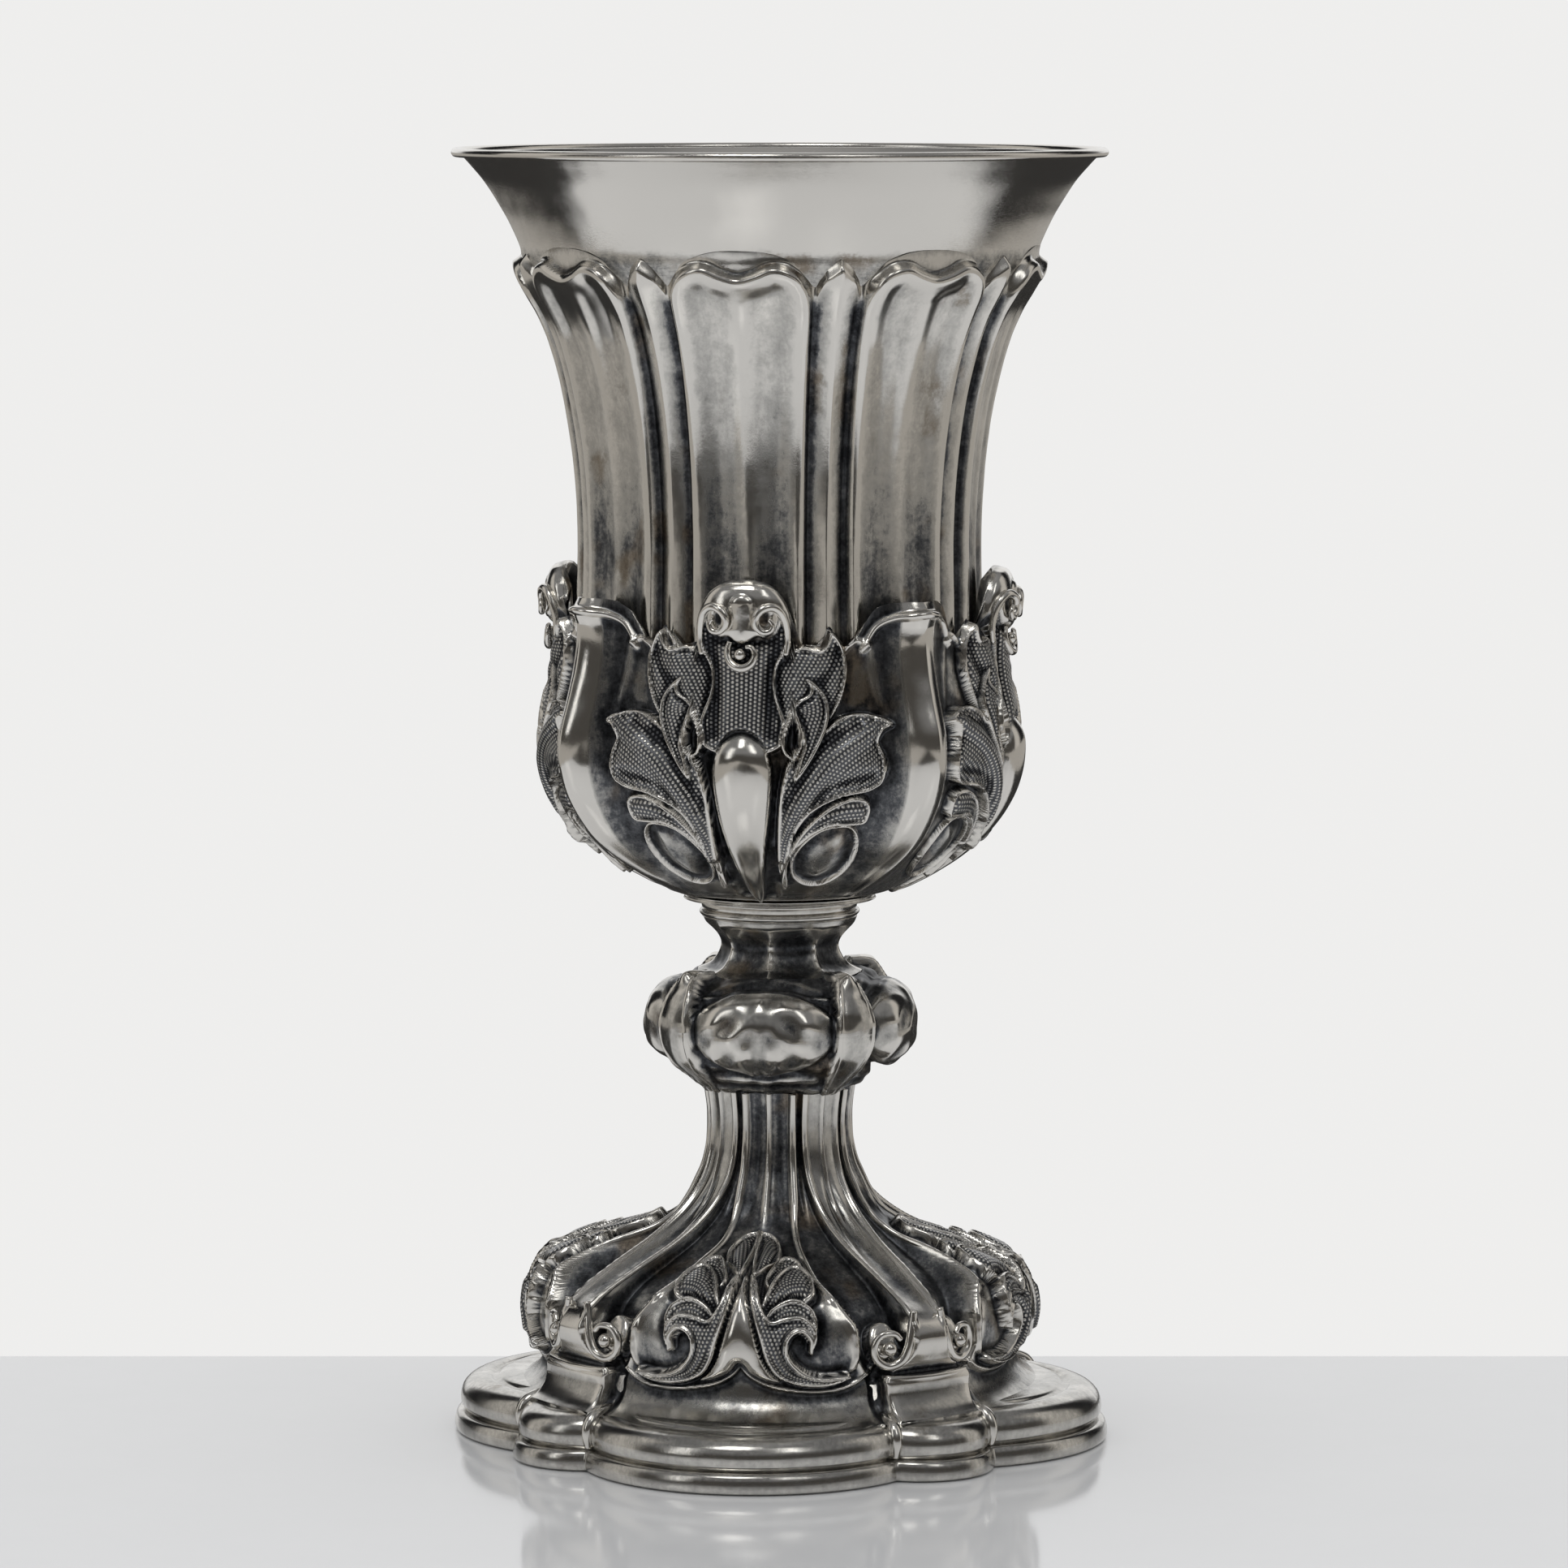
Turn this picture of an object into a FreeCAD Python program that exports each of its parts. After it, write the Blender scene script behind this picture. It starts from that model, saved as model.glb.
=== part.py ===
"""Silver standing cup of ciborium form: lobed foot, fluted stem, knop and leaf-chased bowl.

Units are millimetres. The origin is the centre of the foot's resting plane, +Z is up, and +X looks
out through one of the four leaf panels, so the scroll brackets and bowl petals stand on the diagonals.

The pieces are raised sheet shells. One threaded tie rod hangs from the boss under the cup, passes
through neck, knop and stem, and a nut inside the foot draws the whole stack together.
"""

import FreeCAD, Part
import math
import os
import re

import Sketcher
from FreeCAD import Placement, Rotation, Vector

SIZES = {
    # name: (value, what it is)
    "sheet_wall": (0.7, "thickness of the raised silver sheet"),
    "joint_gap": (0.1, "gap left at each seam and seat"),
    "flange_height": (4.5, "base flange, plane to top"),
    "flange_band": (5.0, "width of the base flange's flat underside"),
    "lobe_radius": (61.6, "base flange, axis to the crown of a wide lobe"),
    "corner_radius": (57.5, "base flange, axis to the crown of a narrow lobe"),
    "notch_radius": (53.0, "base flange, axis to the notch between lobes"),
    "notch_angle": (33.0, "degrees from a wide lobe's crown to its notch"),
    "plinth_inset": (1.5, "step from flange edge to ovolo moulding"),
    "ovolo_rise": (7.6, "height of the ovolo moulding"),
    "ovolo_run": (6.0, "how far the ovolo draws in"),
    "plate_rise": (2.2, "rise of the sloping plate above the ovolo"),
    "plate_edge": (44.5, "radius where the sloping plate meets the ovolo's notches"),
    "plate_crown": (47.0, "radius of the sloping plate's upper edge"),
    "plate_bore": (43.6, "radius of the opening under the dome"),
    "band_radius": (1.1, "half-round band over each notch"),
    "stem_top": (65.6, "top of the fluted stem"),
    "panel_half_width": (31.0, "degrees from a leaf panel's middle to the valley beside it"),
    "valley_half_width": (15.0, "degrees from the valley's middle to its edge"),
    "rib_half_width": (13.0, "degrees from a stem rib's crest to its edge"),
    "bracket_width": (7.0, "scroll bracket, side to side"),
    "bracket_foot": (43.2, "axis to the inner side of a bracket's post"),
    "bracket_toe": (48.4, "axis to the outer side of a bracket's post"),
    "bracket_crown": (33.2, "height of the bracket's shoulder"),
    "bracket_tip": (38.2, "height of the bracket's upper end"),
    "volute_width": (10.6, "scroll bracket across its two volutes"),
    "volute_radius": (3.9, "radius of a volute"),
    "volute_out": (44.4, "axis to a volute's centre"),
    "volute_up": (24.2, "height of a volute's centre"),
    "bridge_height": (40.0, "underside of the bridge plate inside the foot"),
    "bridge_radius": (15.0, "radius of the bridge plate"),
    "bridge_thickness": (2.0, "bridge plate thickness"),
    "knop_base": (65.8, "underside of the knop"),
    "knop_middle": (77.6, "seam between the knop's halves"),
    "knop_top": (87.4, "top of the knop"),
    "knop_boss_half_width": (27.0, "degrees from a knop boss's middle to its edge"),
    "knop_rib_half_width": (14.0, "degrees from a knop rib's crest to its edge"),
    "neck_top": (97.4, "top of the neck"),
    "collar_radius": (15.0, "stepped collar under the bowl"),
    "collar_height": (3.2, "height of the stepped collar"),
    "disc_radius": (17.8, "seat disc soldered under the bowl"),
    "disc_thickness": (1.0, "seat disc thickness"),
    "calyx_base": (101.9, "underside of the leaf calyx"),
    "calyx_top": (158.0, "tips of the calyx"),
    "keel_half_width": (14.0, "degrees from a leaf's keel to its edge"),
    "petal_half_width": (24.0, "degrees from a petal's ridge to its edge"),
    "calyx_notch": (7.0, "radius of the dip in the calyx's edge between leaf and petal"),
    "upper_roll": (3.4, "radius of the scroll rolled over a leaf's top"),
    "upper_roll_width": (12.0, "its width"),
    "upper_roll_out": (41.2, "axis to its centre"),
    "upper_roll_up": (157.2, "height of its centre"),
    "lower_roll": (1.9, "radius of the small scroll below it"),
    "lower_roll_width": (4.6, "its width"),
    "lower_roll_out": (41.8, "axis to its centre"),
    "lower_roll_up": (152.2, "height of its centre"),
    "sleeve_base": (103.2, "underside of the fluted sleeve"),
    "sleeve_top": (218.6, "top of the fluted sleeve"),
    "flute_edge": (17.2, "degrees from a wide flute's middle to the groove beside it"),
    "groove_half_width": (2.6, "degrees from the groove's middle to its edge"),
    "cup_bottom": (106.0, "outside of the cup's bottom"),
    "cup_flat": (9.0, "radius of the flat in the cup's bottom"),
    "cup_round": (34.0, "radius of the cup's rounded bottom"),
    "cup_barrel": (33.0, "outer radius of the cup's straight part"),
    "cup_barrel_foot": (138.0, "height where the straight part begins"),
    "cup_flare_foot": (160.0, "height where the cup starts to flare"),
    "cup_flare_arc": (141.3, "radius of the cup's slow flare"),
    "cup_flare_radius": (41.4, "outer radius where the slow flare ends"),
    "cup_flare_top": (208.0, "height where the slow flare ends"),
    "lip_band_foot": (219.5, "height where the plain lip band begins"),
    "lip_band_radius": (47.3, "outer radius there"),
    "lip_radius": (59.2, "outer radius of the lip"),
    "lip_height": (238.6, "height of the lip's edge"),
    "lip_flare_arc": (46.5, "radius of the lip band's hollow curve"),
    "cup_wall": (0.6, "cup wall thickness"),
    "rim_wire": (0.8, "radius of the wire round the lip"),
    "boss_radius": (8.0, "threaded boss under the cup"),
    "rod_radius": (3.5, "tie rod, outside of thread"),
    "rod_fit": (0.02, "radial clearance of the rod in the cup's boss"),
    "rod_clearance": (0.4, "gap round the rod in every piece it passes"),
    "rod_end": (30.4, "lower end of the tie rod"),
    "rod_chamfer": (0.9, "chamfer on the rod's end"),
    "thread_pitch": (1.5, "tie rod thread"),
    "thread_depth": (0.8, "depth of the thread's groove"),
    "thread_slack": (0.14, "clearance between nut and rod threads"),
    "thread_length": (12.0, "length of the rod's thread"),
    "washer_radius": (11.0, "washer under the bridge plate"),
    "washer_thickness": (1.6, "washer thickness"),
    "nut_across": (13.0, "nut across its flats"),
    "nut_height": (5.0, "nut height"),
}

# Shapes of the raised sheet: (height, radius) or (height, how far an ornament stands out).
PROFILES = {
    "dome_panel": [
        (14.4, 47.0),
        (17.0, 45.0),
        (19.0, 45.2),
        (24.0, 46.0),
        (29.0, 45.3),
        (33.0, 43.4),
        (36.5, 37.0),
        (39.5, 27.5),
        (42.5, 20.5),
        (48.0, 15.3),
        (53.0, 13.1),
        (58.0, 12.6),
        (62.0, 12.7),
        (65.6, 13.2),
    ],
    "dome_valley": [(14.4, 0), (19.0, 1.0), (24.0, 4.0), (32.0, 6.0), (40.0, 3.0), (52.0, 0.8)],
    "dome_rib": [(14.4, 0), (22.0, 1.0), (30.0, 1.2), (40.0, 1.2), (50.0, 0.9), (65.6, 0.5)],
    "knop_core": [
        (65.8, 14.6),
        (67.6, 17.2),
        (70.0, 18.8),
        (74.0, 21.6),
        (78.0, 22.4),
        (82.0, 21.4),
        (85.5, 18.6),
        (87.4, 14.6),
    ],
    "knop_boss": [(69.0, 0), (73.5, 2.8), (78.0, 3.2), (82.5, 2.8), (86.0, 0)],
    "knop_rib": [(66.0, 0), (72.0, 1.8), (78.0, 2.6), (84.0, 2.0), (87.4, 0.4)],
    "neck_core": [(87.4, 15.0), (89.0, 12.4), (91.0, 11.1), (92.8, 10.9), (94.8, 12.2), (97.4, 14.2)],
    "neck_facet": [(87.4, 0.6), (91.0, 0.7), (94.0, 0.4), (97.4, 0.1)],
    "calyx_core": [
        (101.9, 17.4),
        (105.2, 25.6),
        (108.2, 30.2),
        (114.2, 36.4),
        (120.2, 40.0),
        (129.0, 42.2),
        (136.0, 41.8),
        (144.0, 40.2),
        (152.0, 39.8),
        (158.0, 40.6),
    ],
    "leaf_keel": [(101.9, 0.6), (110.0, 2.4), (120.0, 3.6), (129.0, 3.8), (134.0, 2.6), (158.0, 1.0)],
    "petal_ridge": [(101.9, 0.6), (110.0, 3.4), (120.0, 5.0), (130.0, 6.0), (150.0, 4.8), (158.0, 5.4)],
    "sleeve_crest": [
        (103.2, 14.0),
        (105.0, 20.5),
        (108.5, 26.0),
        (114.0, 31.0),
        (122.0, 34.8),
        (134.0, 36.6),
        (150.0, 37.6),
        (171.0, 37.4),
        (183.0, 38.3),
        (195.0, 40.3),
        (204.0, 42.7),
        (211.0, 45.6),
        (216.0, 48.7),
        (218.6, 48.3),
    ],
    "groove_depth": [(103.2, 0), (112.0, 0.6), (130.0, 1.2), (170.0, 1.4), (211.0, 1.7), (218.6, 0)],
}

# How many times each ornament repeats round the axis.
LEAVES = 4
FLUTES = 8

doc = FreeCAD.newDocument("standing_cup")
sheet = doc.addObject("Spreadsheet::Sheet", "dims")
for row, (alias, (number, note)) in enumerate(SIZES.items(), start=1):
    sheet.set(f"A{row}", alias)
    sheet.set(f"B{row}", str(number))
    sheet.setAlias(f"B{row}", alias)
    sheet.set(f"C{row}", note)

shapes = doc.addObject("Spreadsheet::Sheet", "profiles")
for column, (name, stops) in enumerate(PROFILES.items()):
    low_column, high_column = chr(ord("A") + 2 * column), chr(ord("B") + 2 * column)
    shapes.set(f"{low_column}1", f"{name} height")
    shapes.set(f"{high_column}1", f"{name} value")
    for row, (height, number) in enumerate(stops, start=2):
        shapes.set(f"{low_column}{row}", str(height))
        shapes.set(f"{high_column}{row}", str(number))
doc.recompute()


def cell(formula):
    """A formula in size names, rewritten so that it reads the sheet."""
    return re.sub(
        r"[a-z_]+", lambda m: "dims." + m.group(0) if m.group(0) in SIZES else m.group(0), formula
    )


def size(formula):
    """The value of a formula in size names."""
    found = sheet.evalExpression(cell(formula))
    return float(getattr(found, "Value", found))


def profile(name):
    """The (height, value) stops of a profile, read from its sheet."""
    column = 2 * list(PROFILES).index(name)
    low_column, high_column = chr(ord("A") + column), chr(ord("B") + column)
    rows = range(2, 2 + len(PROFILES[name]))
    return [(float(shapes.get(f"{low_column}{r}")), float(shapes.get(f"{high_column}{r}"))) for r in rows]


# ---------------------------------------------------------------- sketches and turned pieces


TOUCHING = 1e-6
LEVEL = 1e-3


def origin_plane(body, role):
    """The body's own XY_Plane, XZ_Plane or YZ_Plane."""
    return next(f for f in body.Origin.OriginFeatures if f.Role == role)


def new_body(label):
    """An empty body with the label that names its file."""
    body = doc.addObject("PartDesign::Body", label)
    body.Label = label
    return body


def arc_between(start, end, radius, side):
    """The shorter arc of a radius from start to end, its centre left (+1) or right (-1) of the way."""
    way = end - start
    half = way.Length / 2
    normal = Vector(-way.y, way.x, 0).normalize() * side
    centre = (start + end) * 0.5 + normal * math.sqrt(max(radius**2 - half**2, 0))
    middle = centre - normal * radius
    return Part.Arc(start, middle, end)


def outline_sketch(body, name, role, corners, offset=None):
    """A closed outline on an origin plane, each corner pinned to formulas in size names.

    A corner is (x, y), or (x, y, radius, side) when an arc leads from it to the next corner.
    """
    sketch = body.newObject("Sketcher::SketchObject", name)
    sketch.AttachmentSupport = [(origin_plane(body, role), "")]
    sketch.MapMode = "FlatFace"
    if offset is not None:
        sketch.setExpression(".AttachmentOffset.Base.z", cell(offset))
    spots = [Vector(size(c[0]), size(c[1]), 0) for c in corners]
    for i, corner in enumerate(corners):
        start, end = spots[i], spots[(i + 1) % len(spots)]
        if len(corner) == 4:
            sketch.addGeometry(arc_between(start, end, size(corner[2]), corner[3]), False)
        else:
            sketch.addGeometry(Part.LineSegment(start, end), False)
    # An arc drawn clockwise is stored the other way round, so its first point is its end.
    count = len(corners)
    heads = [1 if (sketch.getPoint(i, 1) - spots[i]).Length < TOUCHING else 2 for i in range(count)]
    for i in range(count):
        following = (i + 1) % count
        tail = 3 - heads[i]
        sketch.addConstraint(Sketcher.Constraint("Coincident", i, tail, following, heads[following]))
    for i, corner in enumerate(corners):
        for kind, formula, value, axis in (
            ("DistanceX", corner[0], spots[i].x, -2),
            ("DistanceY", corner[1], spots[i].y, -1),
        ):
            if abs(value) < TOUCHING:
                sketch.addConstraint(Sketcher.Constraint("PointOnObject", i, heads[i], axis))
                continue
            number = sketch.addConstraint(Sketcher.Constraint(kind, i, heads[i], value))
            sketch.renameConstraint(number, f"{kind}_{i}")
            sketch.setExpression(f".Constraints.{kind}_{i}", cell(formula))
        if len(corner) == 4:
            number = sketch.addConstraint(Sketcher.Constraint("Radius", i, size(corner[2])))
            sketch.renameConstraint(number, f"Radius_{i}")
            sketch.setExpression(f".Constraints.Radius_{i}", cell(corner[2]))
    return sketch


def circle_sketch(body, name, radius, offset="0"):
    """A circle round Z on the body's XY plane, raised by an offset."""
    sketch = body.newObject("Sketcher::SketchObject", name)
    sketch.AttachmentSupport = [(origin_plane(body, "XY_Plane"), "")]
    sketch.MapMode = "FlatFace"
    sketch.setExpression(".AttachmentOffset.Base.z", cell(offset))
    sketch.addGeometry(Part.Circle(Vector(), Vector(0, 0, 1), size(radius)), False)
    sketch.addConstraint(Sketcher.Constraint("Coincident", 0, 3, -1, 1))
    number = sketch.addConstraint(Sketcher.Constraint("Radius", 0, size(radius)))
    sketch.renameConstraint(number, "Size")
    sketch.setExpression(".Constraints.Size", cell(radius))
    return sketch


def side_circle_sketch(body, name, radius, out, up):
    """A circle seen from the side: its centre a distance out along X and a height up Z."""
    sketch = body.newObject("Sketcher::SketchObject", name)
    sketch.AttachmentSupport = [(origin_plane(body, "XZ_Plane"), "")]
    sketch.MapMode = "FlatFace"
    centre = Vector(size(out), size(up), 0)
    sketch.addGeometry(Part.Circle(centre, Vector(0, 0, 1), size(radius)), False)
    for label, kind, formula, point in (
        ("Out", "DistanceX", out, (3,)),
        ("Up", "DistanceY", up, (3,)),
        ("Size", "Radius", radius, ()),
    ):
        number = sketch.addConstraint(Sketcher.Constraint(kind, 0, *point, size(formula)))
        sketch.renameConstraint(number, label)
        sketch.setExpression(f".Constraints.{label}", cell(formula))
    return sketch


def turned(label, corners):
    """A body turned round Z from an outline of (radius, height) corners."""
    body = new_body(label)
    sketch = outline_sketch(body, label + "_outline", "XZ_Plane", corners)
    turn = body.newObject("PartDesign::Revolution", label + "_turn")
    turn.Profile = sketch
    turn.ReferenceAxis = (sketch, ["V_Axis"])
    turn.Angle = 360
    body.Tip = turn
    return body


def add_pad(body, sketch, length, midplane=False):
    """A pad of a sketch, up its normal or half each way."""
    pad = body.newObject("PartDesign::Pad", sketch.Name + "_pad")
    pad.Profile = sketch
    pad.setExpression("Length", cell(length))
    pad.Midplane = midplane
    body.Tip = pad
    return pad


def add_pocket(body, sketch, depth, reverse=True):
    """A pocket from a sketch, cutting up its normal when reverse is set."""
    doc.recompute()
    before = body.Shape.Volume
    pocket = body.newObject("PartDesign::Pocket", sketch.Name + "_pocket")
    pocket.Profile = sketch
    pocket.setExpression("Length", cell(depth))
    pocket.Reversed = reverse
    body.Tip = pocket
    doc.recompute()
    if body.Shape.Volume >= before - TOUCHING:
        raise RuntimeError(f"{sketch.Name} cut nothing")
    return pocket


def around(body, features, count):
    """Repeats features of a body round Z."""
    pattern = body.newObject("PartDesign::PolarPattern", body.Name + "_pattern")
    pattern.Originals = features
    pattern.Axis = (next(f for f in body.Origin.OriginFeatures if f.Role == "Z_Axis"), [""])
    pattern.Angle = 360
    pattern.Occurrences = count
    body.Tip = pattern
    return pattern


# ---------------------------------------------------------------- raised and chased shells


STOPS = {name: profile(name) for name in PROFILES}


def slope(stops, i):
    """Slope of a profile at its stop i."""
    low, high = stops[max(i - 1, 0)], stops[min(i + 1, len(stops) - 1)]
    return (high[1] - low[1]) / (high[0] - low[0])


def eased(name, where):
    """A smooth curve through a profile's stops, read at a height."""
    stops = STOPS[name]
    if where <= stops[0][0]:
        return stops[0][1]
    if where >= stops[-1][0]:
        return stops[-1][1]
    i = next(n for n in range(len(stops) - 1) if where <= stops[n + 1][0])
    (x0, y0), (x1, y1) = stops[i], stops[i + 1]
    span = x1 - x0
    share = (where - x0) / span
    rest = 1 - share
    ends = y0 * (1 + 2 * share) * rest**2 + y1 * share**2 * (3 - 2 * share)
    leans = slope(stops, i) * rest - slope(stops, i + 1) * share
    return ends + leans * span * share * rest


def bump(angle, centre, half_width):
    """A smooth hill of height one round an angle, in degrees, that ends at half_width."""
    away = abs((angle - centre + 180) % 360 - 180)
    return 0.0 if away >= half_width else (0.5 + 0.5 * math.cos(math.pi * away / half_width))


def off_centre(angle, count):
    """Degrees from an angle to the nearest of count even divisions, the first at zero."""
    pitch = 360 / count
    return abs((angle + pitch / 2) % pitch - pitch / 2)


def ring(radius_at, height, points):
    """A closed smooth curve at a height through points evenly spaced round the axis."""
    spots = []
    for i in range(points):
        angle = 360 * i / points
        radius = radius_at(angle, height)
        spots.append(
            Vector(
                radius * math.cos(math.radians(angle)),
                radius * math.sin(math.radians(angle)),
                height,
            )
        )
    curve = Part.BSplineCurve()
    curve.interpolate(Points=spots, PeriodicFlag=True)
    return Part.Wire(curve.toShape())


def end_wire(surface, height):
    """The closed edge of a lofted surface that lies at a height."""
    level = [
        edge
        for edge in surface.Edges
        if abs(edge.BoundBox.ZMin - height) < LEVEL and abs(edge.BoundBox.ZMax - height) < LEVEL
    ]
    return Part.Wire(level[:1])


def circle_wire(radius, height):
    """A circle round Z at a height."""
    return Part.Wire([Part.makeCircle(radius, Vector(0, 0, height))])


def raised(outside, inside, hole):
    """A sheet shell from its outer and inner surfaces, each a (radius_at, heights, points) set.

    An end is open where both surfaces stop at one height, else it has a floor with a round hole.
    """
    (out_at, out_heights, points), (in_at, in_heights, _) = outside, inside
    outer = Part.makeLoft([ring(out_at, z, points) for z in out_heights], False, False)
    inner = Part.makeLoft([ring(in_at, z, points) for z in in_heights], False, False)
    faces = outer.Faces + inner.Faces
    for end in (0, -1):
        out_z, in_z = out_heights[end], in_heights[end]
        out_wire, in_wire = end_wire(outer, out_z), end_wire(inner, in_z)
        if out_z == in_z:
            faces.append(Part.Face([out_wire, in_wire]))
            continue
        faces.append(Part.Face([out_wire, circle_wire(hole, out_z)]))
        faces.append(Part.Face([in_wire, circle_wire(hole, in_z)]))
        faces += Part.makeLoft([circle_wire(hole, out_z), circle_wire(hole, in_z)], False, True).Faces
    skin = Part.makeCompound(faces)
    skin.sewShape()
    solid = Part.makeSolid(skin.Shells[0])
    solid.fix(LEVEL, LEVEL, LEVEL)
    if solid.Volume < 0:
        solid.reverse()
    return solid


def evenly(low, high, count):
    """count heights from low to high."""
    return [low + (high - low) * i / (count - 1) for i in range(count)]


def feature(label, shape):
    """A document object that carries a freeform shape."""
    holder = doc.addObject("Part::Feature", label)
    holder.Label = label
    holder.Shape = shape
    holder.Placement = Placement()
    return holder


WALL = size("sheet_wall")
GAP = size("joint_gap")
ROD_HOLE = "rod_radius + rod_clearance"


# ---------------------------------------------------------------- foot


def crown_arc(notch, crown, half_angle):
    """Formula for the radius of the arc from notch to notch over a lobe's crown."""
    chord = f"({notch} * sin({half_angle}))"
    rise = f"({crown} - {notch} * cos({half_angle}))"
    return f"(({chord} ^ 2 + {rise} ^ 2) / (2 * {rise}))"


def lobed_corners(inset):
    """Corners of the eight-lobed outline, drawn in by an inset formula."""
    notch = f"(notch_radius - {inset})"
    lobes = (
        (-1, f"(lobe_radius - {inset})", "notch_angle * 1 deg"),
        (1, f"(corner_radius - {inset})", "(45 - notch_angle) * 1 deg"),
    )
    corners = []
    for quarter in range(LEAVES):
        for side, crown, half_angle in lobes:
            at = f"({90 * quarter} + {side} * notch_angle) * 1 deg"
            arc = crown_arc(notch, crown, half_angle)
            corners.append((f"{notch} * cos({at})", f"{notch} * sin({at})", arc, 1))
    return corners


def make_base_flange():
    """Flat lobed ring that the vessel stands on."""
    body = new_body("base_flange")
    plan = outline_sketch(body, "flange_plan", "XY_Plane", lobed_corners("0"))
    add_pad(body, plan, "flange_height")
    hollow = outline_sketch(body, "flange_hollow", "XY_Plane", lobed_corners("flange_band"))
    add_pocket(body, hollow, "flange_height")
    return body


def lobed_wire(inset, height):
    """The lobed outline drawn in by an inset, as a wire at a height."""
    notch = size("notch_radius") - inset
    lobes = (
        (0, size("notch_angle"), size("lobe_radius") - inset),
        (45, 45 - size("notch_angle"), size("corner_radius") - inset),
    )
    edges = []
    for quarter in range(LEAVES):
        for middle, half_angle, crown in lobes:
            centre = 90 * quarter + middle
            spots = [
                Vector(
                    radius * math.cos(math.radians(angle)),
                    radius * math.sin(math.radians(angle)),
                    height,
                )
                for angle, radius in (
                    (centre - half_angle, notch),
                    (centre, crown),
                    (centre + half_angle, notch),
                )
            ]
            edges.append(Part.Arc(*spots).toShape())
    return Part.Wire(edges)


def ovolo(share):
    """How far the ovolo draws in, and its rise, at a share of its quarter turn."""
    turn = math.radians(90 * share)
    return size("ovolo_run") * (1 - math.cos(turn)), math.sin(turn)


def make_plinth_moulding():
    """Ovolo moulding on a lobed plan with the sloping plate above it, hollow beneath."""
    foot = size("flange_height") + GAP
    rise = size("ovolo_rise")
    outer = []
    inner = []
    for share in evenly(0, 1, 5):
        run, lift = ovolo(share)
        inset = size("plinth_inset") + run
        outer.append(lobed_wire(inset, foot + rise * lift))
        inner.append(lobed_wire(inset + WALL, foot + (rise - WALL) * lift))
    shell = Part.makeLoft(outer, True, True).cut(Part.makeLoft(inner, True, True))
    top = foot + rise
    plate_top = top + size("plate_rise")
    plate = Part.makeCone(
        size("plate_edge"), size("plate_crown"), plate_top - top, Vector(0, 0, top)
    )
    bore = Part.makeCylinder(size("plate_bore"), plate_top, Vector())
    return feature("plinth_moulding", shell.fuse(plate).cut(bore).removeSplitter())


def make_moulding_bands():
    """A half-round band bent over the ovolo at each of the eight notches."""
    foot = size("flange_height") + GAP
    edge = size("notch_radius - plinth_inset")
    spots = []
    for share in (0, 0.5, 1):
        run, lift = ovolo(share)
        spots.append(Vector(edge - run, 0, foot + size("ovolo_rise") * lift))
    path = Part.Wire([Part.Arc(*spots).toShape()])
    section = Part.Wire([Part.makeCircle(size("band_radius"), spots[0])])
    band = path.makePipeShell([section], True, True)
    bands = []
    for quarter in range(LEAVES):
        for side in (-1, 1):
            copy = band.copy()
            copy.rotate(Vector(), Vector(0, 0, 1), 90 * quarter + side * size("notch_angle"))
            bands.append(copy)
    return feature("moulding_bands", Part.makeCompound(bands))


def dome_radius_at(angle, height):
    """Outside of the foot dome and stem: leaf panels at 0 degrees, rib crests at 45."""
    away = off_centre(angle, LEAVES)
    valley = bump(away, size("panel_half_width"), size("valley_half_width"))
    rib = bump(away, 45, size("rib_half_width"))
    return (
        eased("dome_panel", height)
        - eased("dome_valley", height) * valley
        + eased("dome_rib", height) * rib
    )


def make_foot_dome():
    """Drum, four full leaf panels and fluted stem, raised in one sheet."""
    base = size("flange_height + joint_gap + ovolo_rise + plate_rise") + GAP
    top = size("stem_top")
    between = [17, 19, 22, 25, 28, 31, 33.5, 36, 38, 40, 42.5, 46, 51, 57, 62]

    def inner_radius_at(angle, height):
        return dome_radius_at(angle, min(height + WALL, top)) - WALL

    outside = (dome_radius_at, [base] + between + [top], 72)
    inside = (inner_radius_at, [base] + between + [top - WALL], 72)
    return feature("foot_dome", raised(outside, inside, size(ROD_HOLE)))


def make_scroll_brackets():
    """Four S-scroll brackets on the diagonals, each with a pair of side volutes and a short post."""
    body = new_body("scroll_brackets")
    body.AllowCompound = True
    post_foot = "flange_height + 2 * joint_gap + ovolo_rise + plate_rise"
    shoulder = "bracket_crown - 7.2"
    side = [
        ("bracket_foot", post_foot),
        ("bracket_toe", post_foot),
        ("bracket_toe - 1.6", "bracket_crown - 13.8"),
        ("bracket_toe + 0.5", shoulder, "7.5", 1),
        ("bracket_toe - 2.8", "bracket_crown", "9", 1),
        ("bracket_toe - 11", "bracket_tip"),
        ("bracket_toe - 12", "bracket_tip - 1.6", "20", -1),
        ("bracket_foot - 0.2", "bracket_crown - 2.8"),
        ("bracket_foot + 0.2", "bracket_crown - 13.8"),
    ]
    plan = outline_sketch(body, "bracket_side", "XZ_Plane", side)
    arm = add_pad(body, plan, "bracket_width", midplane=True)
    volute = side_circle_sketch(body, "volute_side", "volute_radius", "volute_out", "volute_up")
    roll = add_pad(body, volute, "volute_width", midplane=True)
    around(body, [arm, roll], LEAVES)
    body.Placement = Placement(Vector(), Rotation(Vector(0, 0, 1), 45))
    return body


def ring_corners(inner, outer, low, height):
    """Corners of a plain ring's section."""
    return [(inner, low), (outer, low), (outer, f"{low} + {height}"), (inner, f"{low} + {height}")]


def make_bridge_plate():
    """Disc soldered across the inside of the stem's root, which the washer bears on."""
    return turned(
        "bridge_plate",
        ring_corners(ROD_HOLE, "bridge_radius", "bridge_height", "bridge_thickness"),
    )


# ---------------------------------------------------------------- knop and neck


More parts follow.
